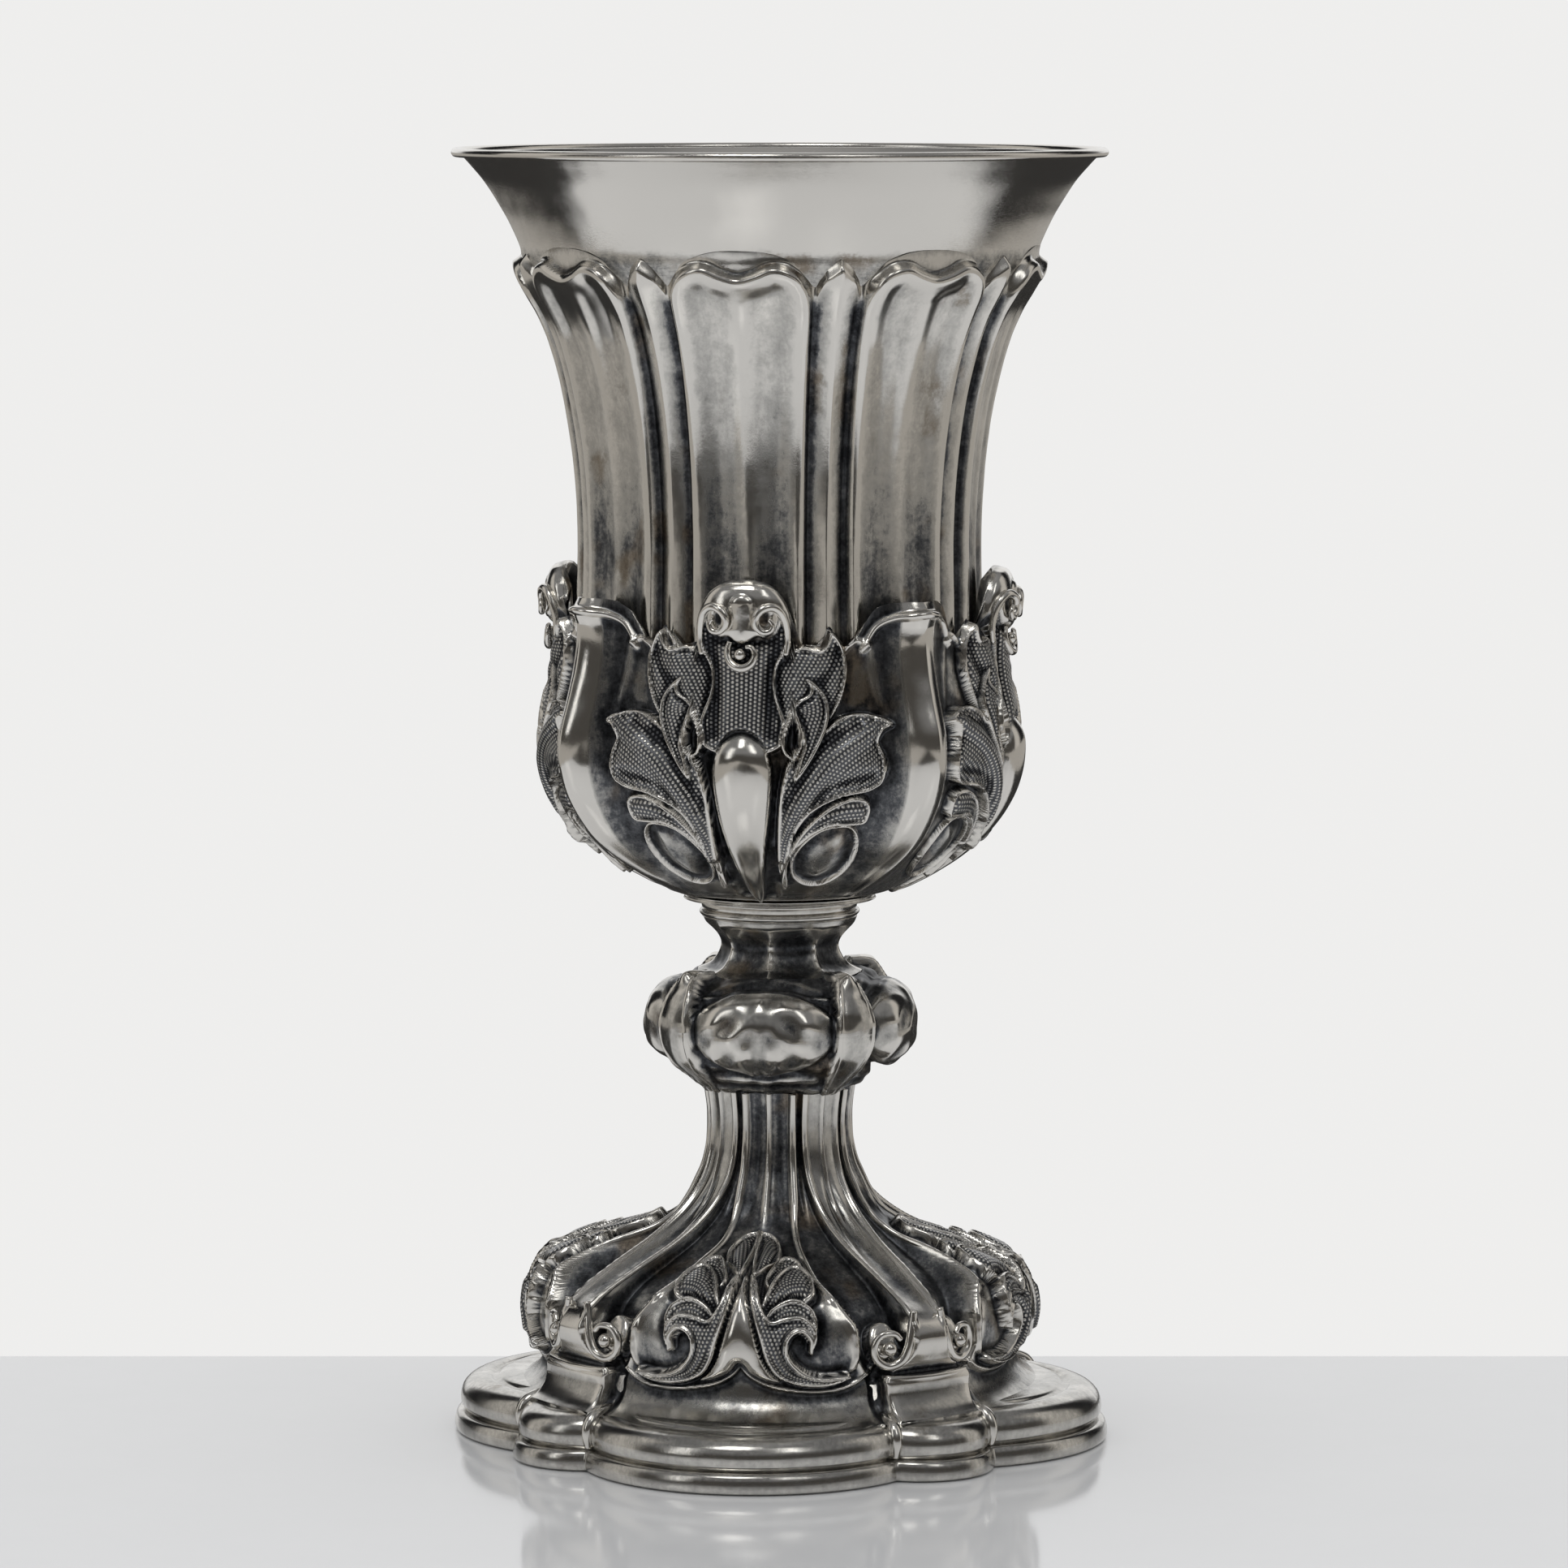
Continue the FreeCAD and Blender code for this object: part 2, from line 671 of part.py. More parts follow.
def knop_radius_at(angle, height):
    """Outside of the knop: four round bosses at 0 degrees, pinched ribs between."""
    away = off_centre(angle, LEAVES)
    boss = bump(away, 0, size("knop_boss_half_width"))
    rib = bump(away, 45, size("knop_rib_half_width"))
    return (
        eased("knop_core", height) + eased("knop_boss", height) * boss + eased("knop_rib", height) * rib
    )


def make_knop_half(label, low, high, closed_below):
    """Half of the knop, hollow, with an end wall the rod passes through."""

    def inner_radius_at(angle, height):
        return knop_radius_at(angle, height) - WALL

    hollow_low = low + WALL if closed_below else low
    hollow_high = high if closed_below else high - WALL
    outside = (knop_radius_at, evenly(low, high, 6), 64)
    inside = (inner_radius_at, evenly(hollow_low, hollow_high, 6), 64)
    return feature(label, raised(outside, inside, size(ROD_HOLE)))


def neck_radius_at(angle, height):
    """Outside of the eight-sided spool between knop and collar."""
    flat = 1 - bump(off_centre(angle, FLUTES), 0, 22.5)
    return eased("neck_core", height) - eased("neck_facet", height) * flat


def make_stem_neck():
    """Spool of sheet between the knop and the stepped collar."""
    low, high = size("knop_top") + GAP, size("neck_top")

    def inner_radius_at(angle, height):
        return neck_radius_at(angle, height) - WALL

    heights = evenly(low, high, 7)
    outside, inside = (neck_radius_at, heights, 64), (inner_radius_at, heights, 64)
    return feature("stem_neck", raised(outside, inside, size(ROD_HOLE)))


def make_neck_collar():
    """Stepped collar, the seat on which the bowl turns."""
    low = "neck_top + joint_gap"
    return turned(
        "neck_collar",
        [
            (ROD_HOLE, low),
            ("collar_radius - 0.6", low),
            ("collar_radius", f"{low} + 1.2"),
            ("collar_radius", f"{low} + 1.9"),
            ("collar_radius - 0.5", f"{low} + 2.2"),
            ("collar_radius - 0.5", f"{low} + collar_height"),
            (ROD_HOLE, f"{low} + collar_height"),
        ],
    )


# ---------------------------------------------------------------- bowl


SEAT = "neck_top + 2 * joint_gap + collar_height"
BOSS_HOLE = "boss_radius + joint_gap"


def make_seat_disc():
    """Thin disc soldered under the bowl, which rests on the collar."""
    return turned("seat_disc", ring_corners(BOSS_HOLE, "disc_radius", SEAT, "disc_thickness"))


def calyx_radius_at(angle, height):
    """Outside of the calyx: leaf keels at 0 degrees and petal ridges at 45."""
    away = off_centre(angle, LEAVES)
    keel = bump(away, 0, size("keel_half_width"))
    ridge = bump(away, 45, size("petal_half_width"))
    return (
        eased("calyx_core", height)
        + eased("leaf_keel", height) * keel
        + eased("petal_ridge", height) * ridge
    )


def make_leaf_calyx():
    """Cup of four leaves and four petals that the sleeve stands in, its top edge scalloped."""
    low, high = size("calyx_base"), size("calyx_top")
    between = [106.5, 111, 116, 122, 129, 135, 141, 147, 152]

    def inner_radius_at(angle, height):
        return calyx_radius_at(angle, max(height - WALL, low)) - WALL

    outside = (calyx_radius_at, [low, low + 2 * WALL] + between + [high], 72)
    inside = (inner_radius_at, [low + WALL, low + 3 * WALL] + between + [high], 72)
    shell = raised(outside, inside, size(BOSS_HOLE))
    dip = size("calyx_notch")
    reach = size("lobe_radius")
    for number in range(FLUTES):
        notch = Part.makeCylinder(dip, reach, Vector(0, 0, high + dip / 3), Vector(1, 0, 0))
        notch.rotate(Vector(), Vector(0, 0, 1), 45 * number + 22.5)
        shell = shell.cut(notch)
    return feature("leaf_calyx", shell)


def make_calyx_scrolls():
    """Cast scroll tips, one rolled over the top of each calyx leaf and a small one below it."""
    body = new_body("calyx_scrolls")
    body.AllowCompound = True
    rolls = []
    for name in ("upper_roll", "lower_roll"):
        plan = side_circle_sketch(body, f"{name}_side", name, f"{name}_out", f"{name}_up")
        rolls.append(add_pad(body, plan, f"{name}_width", midplane=True))
    around(body, rolls, LEAVES)
    return body


def sleeve_radius_at(angle, height):
    """Outside of the sleeve: eight wide flutes, the first at 0 degrees, and eight narrow ones."""
    groove = bump(off_centre(angle, FLUTES), size("flute_edge"), size("groove_half_width"))
    return eased("sleeve_crest", height) - eased("groove_depth", height) * groove


def cup_outside(height):
    """Outer radius of the cup at a height above its rounded bottom."""
    start, arc = size("cup_flare_foot"), size("cup_flare_arc")
    if height <= start:
        return size("cup_barrel")
    if height <= size("cup_flare_top"):
        return size("cup_barrel") + arc - math.sqrt(arc**2 - (height - start) ** 2)
    share = (height - size("cup_flare_top")) / size("lip_band_foot - cup_flare_top")
    return size("cup_flare_radius") + share * size("lip_band_radius - cup_flare_radius")


def make_fluted_sleeve():
    """Fluted sleeve round the cup, from the calyx up to the plain lip band."""
    low, high = size("sleeve_base"), size("sleeve_top")
    between = [105, 108.5, 114, 122, 134, 150, 171, 183, 195, 204, 211, 215]

    def inner_radius_at(angle, height):
        lining = sleeve_radius_at(angle, max(height - WALL, low)) - WALL
        if height < size("cup_flare_foot"):
            return lining
        return max(lining, cup_outside(height) + 2 * GAP)

    outside = (sleeve_radius_at, [low] + between + [high], 144)
    inside = (inner_radius_at, [low + WALL] + between + [high], 144)
    return feature("fluted_sleeve", raised(outside, inside, size(BOSS_HOLE)))


def make_cup():
    """The smooth cup itself: rounded bottom, straight barrel and flared lip band."""
    outside = [
        ("0", "cup_bottom"),
        ("cup_flat", "cup_bottom", "cup_round", 1),
        ("cup_barrel", "cup_barrel_foot"),
        ("cup_barrel", "cup_flare_foot", "cup_flare_arc", -1),
        ("cup_flare_radius", "cup_flare_top"),
        ("lip_band_radius", "lip_band_foot", "lip_flare_arc", -1),
        ("lip_radius", "lip_height"),
    ]
    wall = "cup_wall"
    # The lining's corners lie square off the outside's, so they shift up as the wall leans out.
    inside = [
        (f"lip_radius - {wall} * 0.7", f"lip_height + {wall} * 0.7", f"lip_flare_arc + {wall}", 1),
        (f"lip_band_radius - {wall} * 0.9", f"lip_band_foot + {wall} * 0.4"),
        (f"cup_flare_radius - {wall}", f"cup_flare_top + {wall} * 0.3", f"cup_flare_arc + {wall}", 1),
        (f"cup_barrel - {wall}", "cup_flare_foot"),
        (f"cup_barrel - {wall}", "cup_barrel_foot", f"cup_round - {wall}", -1),
        ("cup_flat", f"cup_bottom + {wall}"),
        ("0", f"cup_bottom + {wall}"),
    ]
    return turned("cup", outside + inside)


def make_rim_wire():
    """Round wire soldered along the lip, its middle up and out from the cup's edge."""
    body = new_body("rim_wire")
    out, up = "lip_radius + rim_wire * 0.78", "lip_height + rim_wire * 0.78"
    section = side_circle_sketch(body, "rim_section", "rim_wire", out, up)
    turn = body.newObject("PartDesign::Revolution", "rim_turn")
    turn.Profile = section
    turn.ReferenceAxis = (section, ["V_Axis"])
    turn.Angle = 360
    body.Tip = turn
    return body


def make_cup_boss():
    """Boss soldered under the cup, bored for the tie rod's upper end."""
    hole = "rod_radius + rod_fit"
    top = "cup_bottom - joint_gap"
    return turned(
        "cup_boss",
        [
            (hole, SEAT),
            ("boss_radius", SEAT),
            ("boss_radius", top),
            ("0", top),
            ("0", f"{top} - cup_wall"),
            (hole, f"{top} - cup_wall"),
        ],
    )


# ---------------------------------------------------------------- tie rod and nut


NUT_FOOT = "(bridge_height - 2 * joint_gap - washer_thickness - nut_height)"
# The rod's first groove is centred this far below its end, so the thread runs out of the chamfer.
THREAD_START = "(rod_end - thread_pitch / 2)"
GROOVE_HALF = "(thread_pitch * 0.4)"
# The groove's open side stands this far off the rod or inside the nut's bore, to cut cleanly.
GROOVE_LIP = 0.3


def add_thread(body, name, corners, length):
    """Cuts a groove of the given section up a right-hand helix round Z."""
    groove = outline_sketch(body, name, "XZ_Plane", corners)
    doc.recompute()
    before = body.Shape.Volume
    helix = body.newObject("PartDesign::SubtractiveHelix", f"{name}_helix")
    helix.Profile = groove
    helix.ReferenceAxis = (groove, ["V_Axis"])
    helix.Mode = 0
    helix.setExpression("Pitch", cell("thread_pitch"))
    helix.setExpression("Height", cell(length))
    helix.Growth = 0
    body.Tip = helix
    doc.recompute()
    if not helix.isValid() or body.Shape.Volume >= before - TOUCHING:
        raise RuntimeError(f"{name} cut no thread")


def make_tie_rod():
    """Rod from the cup's boss down into the foot, threaded at its lower end."""
    high = "cup_bottom - 2 * joint_gap - cup_wall"
    body = turned(
        "tie_rod",
        [
            ("0", "rod_end"),
            ("rod_radius - rod_chamfer", "rod_end"),
            ("rod_radius", "rod_end + rod_chamfer"),
            ("rod_radius", high),
            ("0", high),
        ],
    )
    open_side = f"rod_radius + {GROOVE_LIP}"
    section = [
        (open_side, f"{THREAD_START} - {GROOVE_HALF}"),
        (open_side, f"{THREAD_START} + {GROOVE_HALF}"),
        ("rod_radius - thread_depth", THREAD_START),
    ]
    add_thread(body, "rod_thread", section, "thread_length")
    return body


def make_nut_washer():
    """Washer between the nut and the bridge plate."""
    low = "bridge_height - joint_gap - washer_thickness"
    return turned("nut_washer", ring_corners(ROD_HOLE, "washer_radius", low, "washer_thickness"))


def make_foot_nut():
    """Hexagon nut that draws the stack together, its thread in step with the rod's."""
    body = new_body("foot_nut")
    across = "nut_across / 2 / cos(30 deg)"
    corners = []
    for number in range(6):
        at = f"({60 * number + 30}) * 1 deg"
        corners.append((f"{across} * cos({at})", f"{across} * sin({at})"))
    plan = outline_sketch(body, "nut_plan", "XY_Plane", corners, NUT_FOOT)
    add_pad(body, plan, "nut_height")
    inner = "rod_radius - thread_depth + 2 * thread_slack"
    bore = circle_sketch(body, "nut_bore", inner, NUT_FOOT)
    add_pocket(body, bore, "nut_height")
    # Half a pitch above the rod's groove stands its ridge, which this groove clears all round.
    middle = f"({THREAD_START} + thread_pitch / 2)"
    slack = "thread_slack * 0.6"
    root = f"(thread_pitch / 2 - {GROOVE_HALF} * thread_depth / (thread_depth + {GROOVE_LIP}) + {slack})"
    mouth = f"(thread_pitch / 2 - {GROOVE_HALF} * thread_slack / (thread_depth + {GROOVE_LIP}))"
    section = [
        (f"{inner} - thread_slack", f"{middle} - {mouth}"),
        ("rod_radius + thread_slack", f"{middle} - {root}"),
        ("rod_radius + thread_slack", f"{middle} + {root}"),
        (f"{inner} - thread_slack", f"{middle} + {mouth}"),
    ]
    add_thread(body, "nut_thread", section, "thread_length")
    return body


# ---------------------------------------------------------------- build and write

PIECES = [
    make_base_flange(),
    make_plinth_moulding(),
    make_moulding_bands(),
    make_foot_dome(),
    make_scroll_brackets(),
    make_bridge_plate(),
    make_knop_half("knop_lower", size("knop_base"), size("knop_middle"), closed_below=True),
    make_knop_half("knop_upper", size("knop_middle") + GAP, size("knop_top"), closed_below=False),
    make_stem_neck(),
    make_neck_collar(),
    make_seat_disc(),
    make_leaf_calyx(),
    make_calyx_scrolls(),
    make_fluted_sleeve(),
    make_cup(),
    make_rim_wire(),
    make_cup_boss(),
    make_tie_rod(),
    make_nut_washer(),
    make_foot_nut(),
]

doc.recompute()
for item in doc.Objects:
    if "Invalid" in item.State or "Error" in item.State:
        raise RuntimeError(f"{item.Label} failed: {item.State}")
for piece in PIECES:
    if piece.Shape.isNull() or not piece.Shape.isValid() or not piece.Shape.Solids:
        raise RuntimeError(f"{piece.Label} has no valid solid")
os.makedirs("parts", exist_ok=True)
for piece in PIECES:
    piece.Shape.exportStep(f"parts/{piece.Label}.step")
    print(f"{piece.Label}: {len(piece.Shape.Solids)} solids, {piece.Shape.Volume:.0f} mm3")
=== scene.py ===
"""Looks of the silver standing cup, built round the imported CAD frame.

Shapes are worked out in millimetres round the cup's axis and turned into metres when a mesh is made.
Angles are degrees from the middle of a leaf. The ornament repeats four times round the axis and is
mirrored about each leaf's middle, so a relief is drawn over half a quarter: 0 to 45 degrees.
"""

import copy
import math

import bpy
import numpy as np
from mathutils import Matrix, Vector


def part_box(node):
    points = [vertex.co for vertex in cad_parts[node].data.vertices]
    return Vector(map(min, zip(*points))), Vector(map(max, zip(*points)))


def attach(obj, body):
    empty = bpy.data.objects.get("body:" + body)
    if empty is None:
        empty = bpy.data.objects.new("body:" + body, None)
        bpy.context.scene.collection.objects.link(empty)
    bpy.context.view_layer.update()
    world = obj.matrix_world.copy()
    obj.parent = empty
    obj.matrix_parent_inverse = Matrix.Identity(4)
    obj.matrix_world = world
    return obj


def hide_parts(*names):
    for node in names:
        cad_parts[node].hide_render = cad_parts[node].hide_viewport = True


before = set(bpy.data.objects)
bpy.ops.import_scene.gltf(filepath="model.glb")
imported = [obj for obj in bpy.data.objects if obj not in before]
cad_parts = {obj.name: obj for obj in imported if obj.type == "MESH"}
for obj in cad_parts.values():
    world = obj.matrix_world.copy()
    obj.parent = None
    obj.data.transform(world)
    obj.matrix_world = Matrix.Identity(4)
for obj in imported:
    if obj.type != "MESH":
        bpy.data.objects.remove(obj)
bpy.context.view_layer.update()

MM = 0.001
LEAVES = 4
QUARTER = 360 / LEAVES
HALF = QUARTER / 2
# spacing of a relief's points
GRID = 0.27
# spacing of the inner skins' points, and their shine
INNER_STEP, INNER_SHINE = 3.0, 0.7
# values stored at the points for the silver: how bright, from rubbed wear together with painted highlights
# and painted shade, punched, and the place among the punched dots
FIELDS = ("shine", "matt", "row", "dot")


def top_of(node):
    """Height of a CAD node's top, in millimetres."""
    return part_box(node)[1].z / MM


def foot_of(node):
    """Height of a CAD node's underside, in millimetres."""
    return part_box(node)[0].z / MM


def reach_of(node):
    """Outer radius of a round CAD node, in millimetres."""
    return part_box(node)[1].x / MM


# ------------------------------------------------------------------ curves and shapes


def upright(parts, turn):
    """(outward, round, up) parts at a turn round the axis, in radians, as x, y and z."""
    out, around, up = np.moveaxis(parts, -1, 0)
    cos, sin = np.cos(turn), np.sin(turn)
    return np.stack([out * cos - around * sin, out * sin + around * cos, up], -1)


def unit(vectors):
    """Vectors made one long."""
    return vectors / np.linalg.norm(vectors, axis=-1, keepdims=True)


def both_sides(points, tip=None):
    """An outline down one side of a leaf's middle line, past its tip and back up the other side."""
    return points + ([] if tip is None else [(0, tip)]) + [(-a, z) for a, z in reversed(points) if a]


def smooth(low, high, x):
    """Zero below low, one above high, eased between."""
    share = np.clip((np.asarray(x, float) - low) / (high - low), 0, 1)
    return share * share * (3 - 2 * share)


def hill(x, half_width):
    """A round hill of height one that ends at half_width each side of zero."""
    x = np.abs(np.asarray(x, float))
    return np.where(x < half_width, 0.5 + 0.5 * np.cos(np.pi * np.minimum(x / half_width, 1)), 0)


def eased(stops, where):
    """A smooth curve through (place, value) stops, read at the given places."""
    place = np.array([s[0] for s in stops], float)
    value = np.array([s[1] for s in stops], float)
    rise = np.gradient(value, place)
    where = np.clip(np.asarray(where, float), place[0], place[-1])
    i = np.clip(np.searchsorted(place, where, side="right") - 1, 0, len(place) - 2)
    span = place[i + 1] - place[i]
    share = (where - place[i]) / span
    rest = 1 - share
    ends = value[i] * (1 + 2 * share) * rest**2 + value[i + 1] * share**2 * (3 - 2 * share)
    return ends + (rise[i] * rest - rise[i + 1] * share) * span * share * rest


def flowing(points, closed=False, per=7):
    """Points along a smooth line through the given ones; a point given twice makes a corner."""
    p = np.array(points, float)
    if closed:
        before, start, end, after = np.roll(p, 1, 0), p, np.roll(p, -1, 0), np.roll(p, -2, 0)
    else:
        wide = np.vstack([2 * p[0] - p[1], p, 2 * p[-1] - p[-2]])
        before, start, end, after = wide[:-3], wide[1:-2], wide[2:-1], wide[3:]
    t = (np.arange(per) / per)[None, :, None]
    before, start, end, after = (a[:, None] for a in (before, start, end, after))
    line = 0.5 * (2 * start + (end - before) * t + (2 * before - 5 * start + 4 * end - after) * t**2
                  + (3 * start - before - 3 * end + after) * t**3).reshape(-1, p.shape[1])
    return np.vstack([line, line[:1] if closed else p[-1:]])


def even_heights(stops, step, low, high):
    """Heights from low to high whose spacing along a (height, radius) profile is about even."""
    fine = np.linspace(low, high, 4000)
    radius = eased(stops, fine)
    way = np.concatenate([[0], np.cumsum(np.hypot(np.diff(fine), np.diff(radius)))])
    return np.interp(np.linspace(0, way[-1], max(int(way[-1] / step), 4)), way, fine)


def unevenness(points, scale, seed):
    """Soft hand-made unevenness from about -1 to 1 at points, its waves about scale long."""
    own = np.random.default_rng(seed)
    total = np.zeros(points.shape[:-1])
    for _ in range(9):
        direction = own.normal(size=3)
        direction /= np.linalg.norm(direction)
        length = scale * own.uniform(0.6, 1.7)
        total += np.sin(points @ direction * 2 * np.pi / length + own.uniform(0, 2 * np.pi))
    return total / 4


def blurred(field, sigma_rows, sigma_cols):
    """A field blurred over its rows and columns; it mirrors at its side columns."""
    for axis, sigma in ((0, sigma_rows), (1, sigma_cols)):
        reach = min(int(3 * sigma) + 1, field.shape[axis] - 1)
        kernel = np.exp(-0.5 * (np.arange(-reach, reach + 1) / sigma) ** 2)
        kernel /= kernel.sum()
        pads = [(reach, reach) if a == axis else (0, 0) for a in (0, 1)]
        wide = np.pad(field, pads, mode="reflect", reflect_type="odd" if axis == 0 else "even")
        field = sum(k * np.take(wide, range(i, i + field.shape[axis]), axis) for i, k in enumerate(kernel))
    return field


# ------------------------------------------------------------------ relief on a raised sheet


class Relief:
    """A sheet as a grid, columns round the axis and rows up it, on which ornament is raised."""

    # half the width over which a raised shape's edge climbs, and the dip inside a leaf's rolled rim
    EDGE = 0.2
    DIP = 0.42

    def __init__(self, angles, radius, height):
        self.angles = np.asarray(angles, float)
        self.angle = np.broadcast_to(self.angles, radius.shape)
        self.radius = radius
        self.height = np.broadcast_to(height, radius.shape)
        self.turn = np.radians(self.angle)
        self.base = upright(np.stack([radius, 0 * radius, self.height], -1), self.turn)
        self._aim()
        self.rise, self.matt, self.row, self.dot = np.zeros((4, *radius.shape))
        self.shine = np.full(radius.shape, 0.62)

    def _aim(self):
        """Which way is out of the sheet, as parts along the radius, round the axis and up."""
        step = np.radians(np.gradient(self.angles))
        slope_r, slope_z = (np.gradient(a, axis=1) / step for a in (self.radius, self.height))
        up_r, up_z = (np.gradient(a, axis=0) for a in (self.radius, self.height))
        r = self.radius
        out = np.stack([r * up_z, slope_z * up_r - slope_r * up_z, -r * up_r], -1)
        out[:, [0, -1], 1] = 0
        self.out = unit(out)
        self.normal = upright(self.out, self.turn)

    def spots(self, path):
        """Points of the sheet at (angle, height) places."""
        found = []
        rows = np.arange(self.radius.shape[0])
        for angle, height in path:
            c = np.interp(abs(angle), self.angles, np.arange(len(self.angles)))
            i = min(int(c), len(self.angles) - 2)
            f = c - i
            column = self.height[:, i] * (1 - f) + self.height[:, i + 1] * f
            row = np.interp(height, column, rows)
            radii = self.radius[:, i] * (1 - f) + self.radius[:, i + 1] * f
            r = np.interp(row, rows, radii)
            turn = math.radians(angle)
            found.append((r * math.cos(turn), r * math.sin(turn), np.interp(row, rows, column)))
        return np.array(found)

    def near(self, path, reach):
        """Grid points close to a path: which ones, how far off, how far along and on which side."""
        line = self.spots(path)
        low, high = line.min(0) - reach, line.max(0) + reach
        close = np.all((self.base >= low) & (self.base <= high), -1)
        p, n = self.base[close], self.normal[close]
        best = np.full(len(p), np.inf)
        along, side = np.zeros(len(p)), np.ones(len(p))
        way = 0.0
        for start, end in zip(line[:-1], line[1:]):
            leg = end - start
            length = np.linalg.norm(leg)
            if length < 1e-6:
                continue
            off = p - start
            t = np.clip(off @ leg / length**2, 0, 1)
            away = np.linalg.norm(off - t[:, None] * leg, axis=1)
            nearer = away < best
            best[nearer] = away[nearer]
            along[nearer] = (way + t * length)[nearer]
            turned = np.einsum("ij,ij->i", np.cross(np.broadcast_to(leg, off.shape), off), n)
            side[nearer] = np.sign(turned)[nearer]
            way += length
        return close, best, along, side, way

    def off(self, path, reach=6.0):
        """Distance from a path at every grid point, at most reach."""
        close, best, *_ = self.near(path, reach)
        far = np.full(self.radius.shape, reach)
        far[close] = np.minimum(best, reach)
        return far

    def depth(self, outline, reach=6.0):
        """How far inside a closed outline each grid point is; negative outside."""
        away = self.off(outline, reach)
        inside = np.zeros(self.radius.shape, bool)
        for (a0, z0), (a1, z1) in zip(outline[:-1], outline[1:]):
            if z0 == z1:
                continue
            spans = (self.height < z0) != (self.height < z1)
            crossing = a0 + (self.height - z0) * (a1 - a0) / (z1 - z0)
            inside ^= spans & (self.angle < crossing)
        return np.where(inside, away, -away)

    def lay(self, cover, rise, shine, matt=0.0):
        """Lays a new surface over the sheet where cover is one."""
        self.rise = self.rise * (1 - cover) + rise * cover
        self.shine = self.shine * (1 - cover) + shine * cover
        self.matt = self.matt * (1 - cover) + matt * cover

    def shade_round(self, depth, sink, dark, width):
        """Sinks the sheet just outside a shape and paints it darker there as shade, given the depth inside
        it.
        """
        outside = np.exp(np.minimum(depth, 0) / width)
        self.rise = self.rise - sink * outside
        self.shine = self.shine * (1 - dark * outside)

    def lobe(self, outline, level, crown=0.9, rim=0.34, bead=0.26, *, spine, sink=0.6, swell=2.6, pitch=0.80,
             spread=(0.7, 1.0)):
        """A leaf lobe with a bright rolled rim, matted between its rims."""
        d = self.depth(flowing(outline, True))
        cover = smooth(-self.EDGE, self.EDGE, d)
        inner = np.maximum(d, 0)
        body = level + crown * (1 - np.exp(-inner / swell)) + bead * hill(d - rim, rim * 1.15)
        body -= self.DIP * hill(d - 2.9 * rim, 2 * rim)
        edge = 0.95 * hill(d - rim, rim * 1.25)
        # painted light: the lobe is painted dark just inside its rim and brighter towards its crown, with a
        # painted highlight along the rim
        lit = 0.08 + 0.72 * smooth(rim, rim + swell * 0.8, d)
        self.shade_round(d, sink, 0.7, 0.8)
        self.lay(cover, body, np.maximum(lit, edge), smooth(rim * 1.7, rim * 2.3, d))
        self.flow(spine, d > 0, pitch, spread)

    def flow(self, spine, where, pitch, spread):
        """Lays the rows of punched dots along a spine, closer together at its root."""
        close, off, along, side, way = self.near(flowing(spine), 30.0)
        rooted, ended = spread
        share = along / way
        local = pitch * (rooted + (ended - rooted) * share)
        row, dot = np.zeros(self.row.shape), np.zeros(self.row.shape)
        row[close] = side * off / local
        if ended == rooted:
            dot[close] = along / local
        else:
            dot[close] = way / (pitch * (ended - rooted)) * np.log(local / (pitch * rooted))
        use = where & close
        self.row[use] = row[use]
        self.dot[use] = dot[use]

    def ridge(self, path, height, width, shine=None):
        """Raises (or sinks) a soft line along a path; a given shine is painted along it, high for a painted
        highlight, low for painted shade.
        """
        share = hill(self.off(flowing(path), width + 1), width)
        self.rise = self.rise + height * share
        if shine is not None:
            self.shine = self.shine * (1 - share) + shine * share

    def wire(self, path, radius, level=0.0, closed=False, shine=1.0, sink=0.3):
        """A round wire laid along a path, with a dark seam beside it."""
        away = self.off(flowing(path, closed), radius + 3)
        cover = smooth(radius + 0.12, radius - 0.12, away)
        top = level + radius * np.sqrt(np.clip(1 - (away / (radius * 1.05)) ** 2, 0, 1))
        beside = np.exp(-np.maximum(away - radius, 0) / 0.6)
        seam = self.rise - sink * beside * (1 - cover)
        self.rise = seam * (1 - cover) + np.maximum(self.rise, top) * cover
        self.shine = self.shine * (1 - 0.6 * beside) * (1 - cover) + shine * cover
        self.matt = self.matt * (1 - np.maximum(cover, beside > 0.5))

    def boss(self, outline, height, width, level=0.0, shine=0.9, sink=0.6):
        """A smooth full boss inside an outline, width being its depth from edge to middle."""
        d = self.depth(flowing(outline, True), max(width, 6.0))
        share = np.clip(d / width, 0, 1)
        self.shade_round(d, sink, 0.8, 0.9)
        self.lay(smooth(-self.EDGE, self.EDGE, d), level + height * np.sqrt(1 - (1 - share) ** 2), shine)

    def finish(self, unevenness_size, seed, groove_gain=1.5):
        """Works out the raised sheet's points (radius, round, up) and its final shine."""
        around = self.rise * self.out[..., 1]
        r = self.radius + self.rise * self.out[..., 0]
        z = self.height + self.rise * self.out[..., 2]
        sigma = max(1.1 / GRID, 1.0)
        hollow = sum(self.out[..., k] * (blurred(a, sigma, sigma) - a) for k, a in ((0, r), (2, z)))
        # crests are painted brighter and hollows darker from how the sheet bends: partly tarnish kept in the
        # hollows, partly painted shade and painted highlight
        wear_and_painted_light = groove_gain * (1.2 * np.maximum(-hollow - 0.02, 0) - np.maximum(hollow, 0))
        self.final_shine = np.clip(self.shine + wear_and_painted_light, 0, 1)
        self.final = np.stack([r, around, z], -1)
        place = upright(self.final, self.turn)
        facing = upright(unit(np.cross(np.gradient(place, axis=1), np.gradient(place, axis=0))), -self.turn)
        facing[:, [0, -1], 1] = 0
        self.facing = facing
        self.uneven, self.seed = unevenness_size, seed
        return self


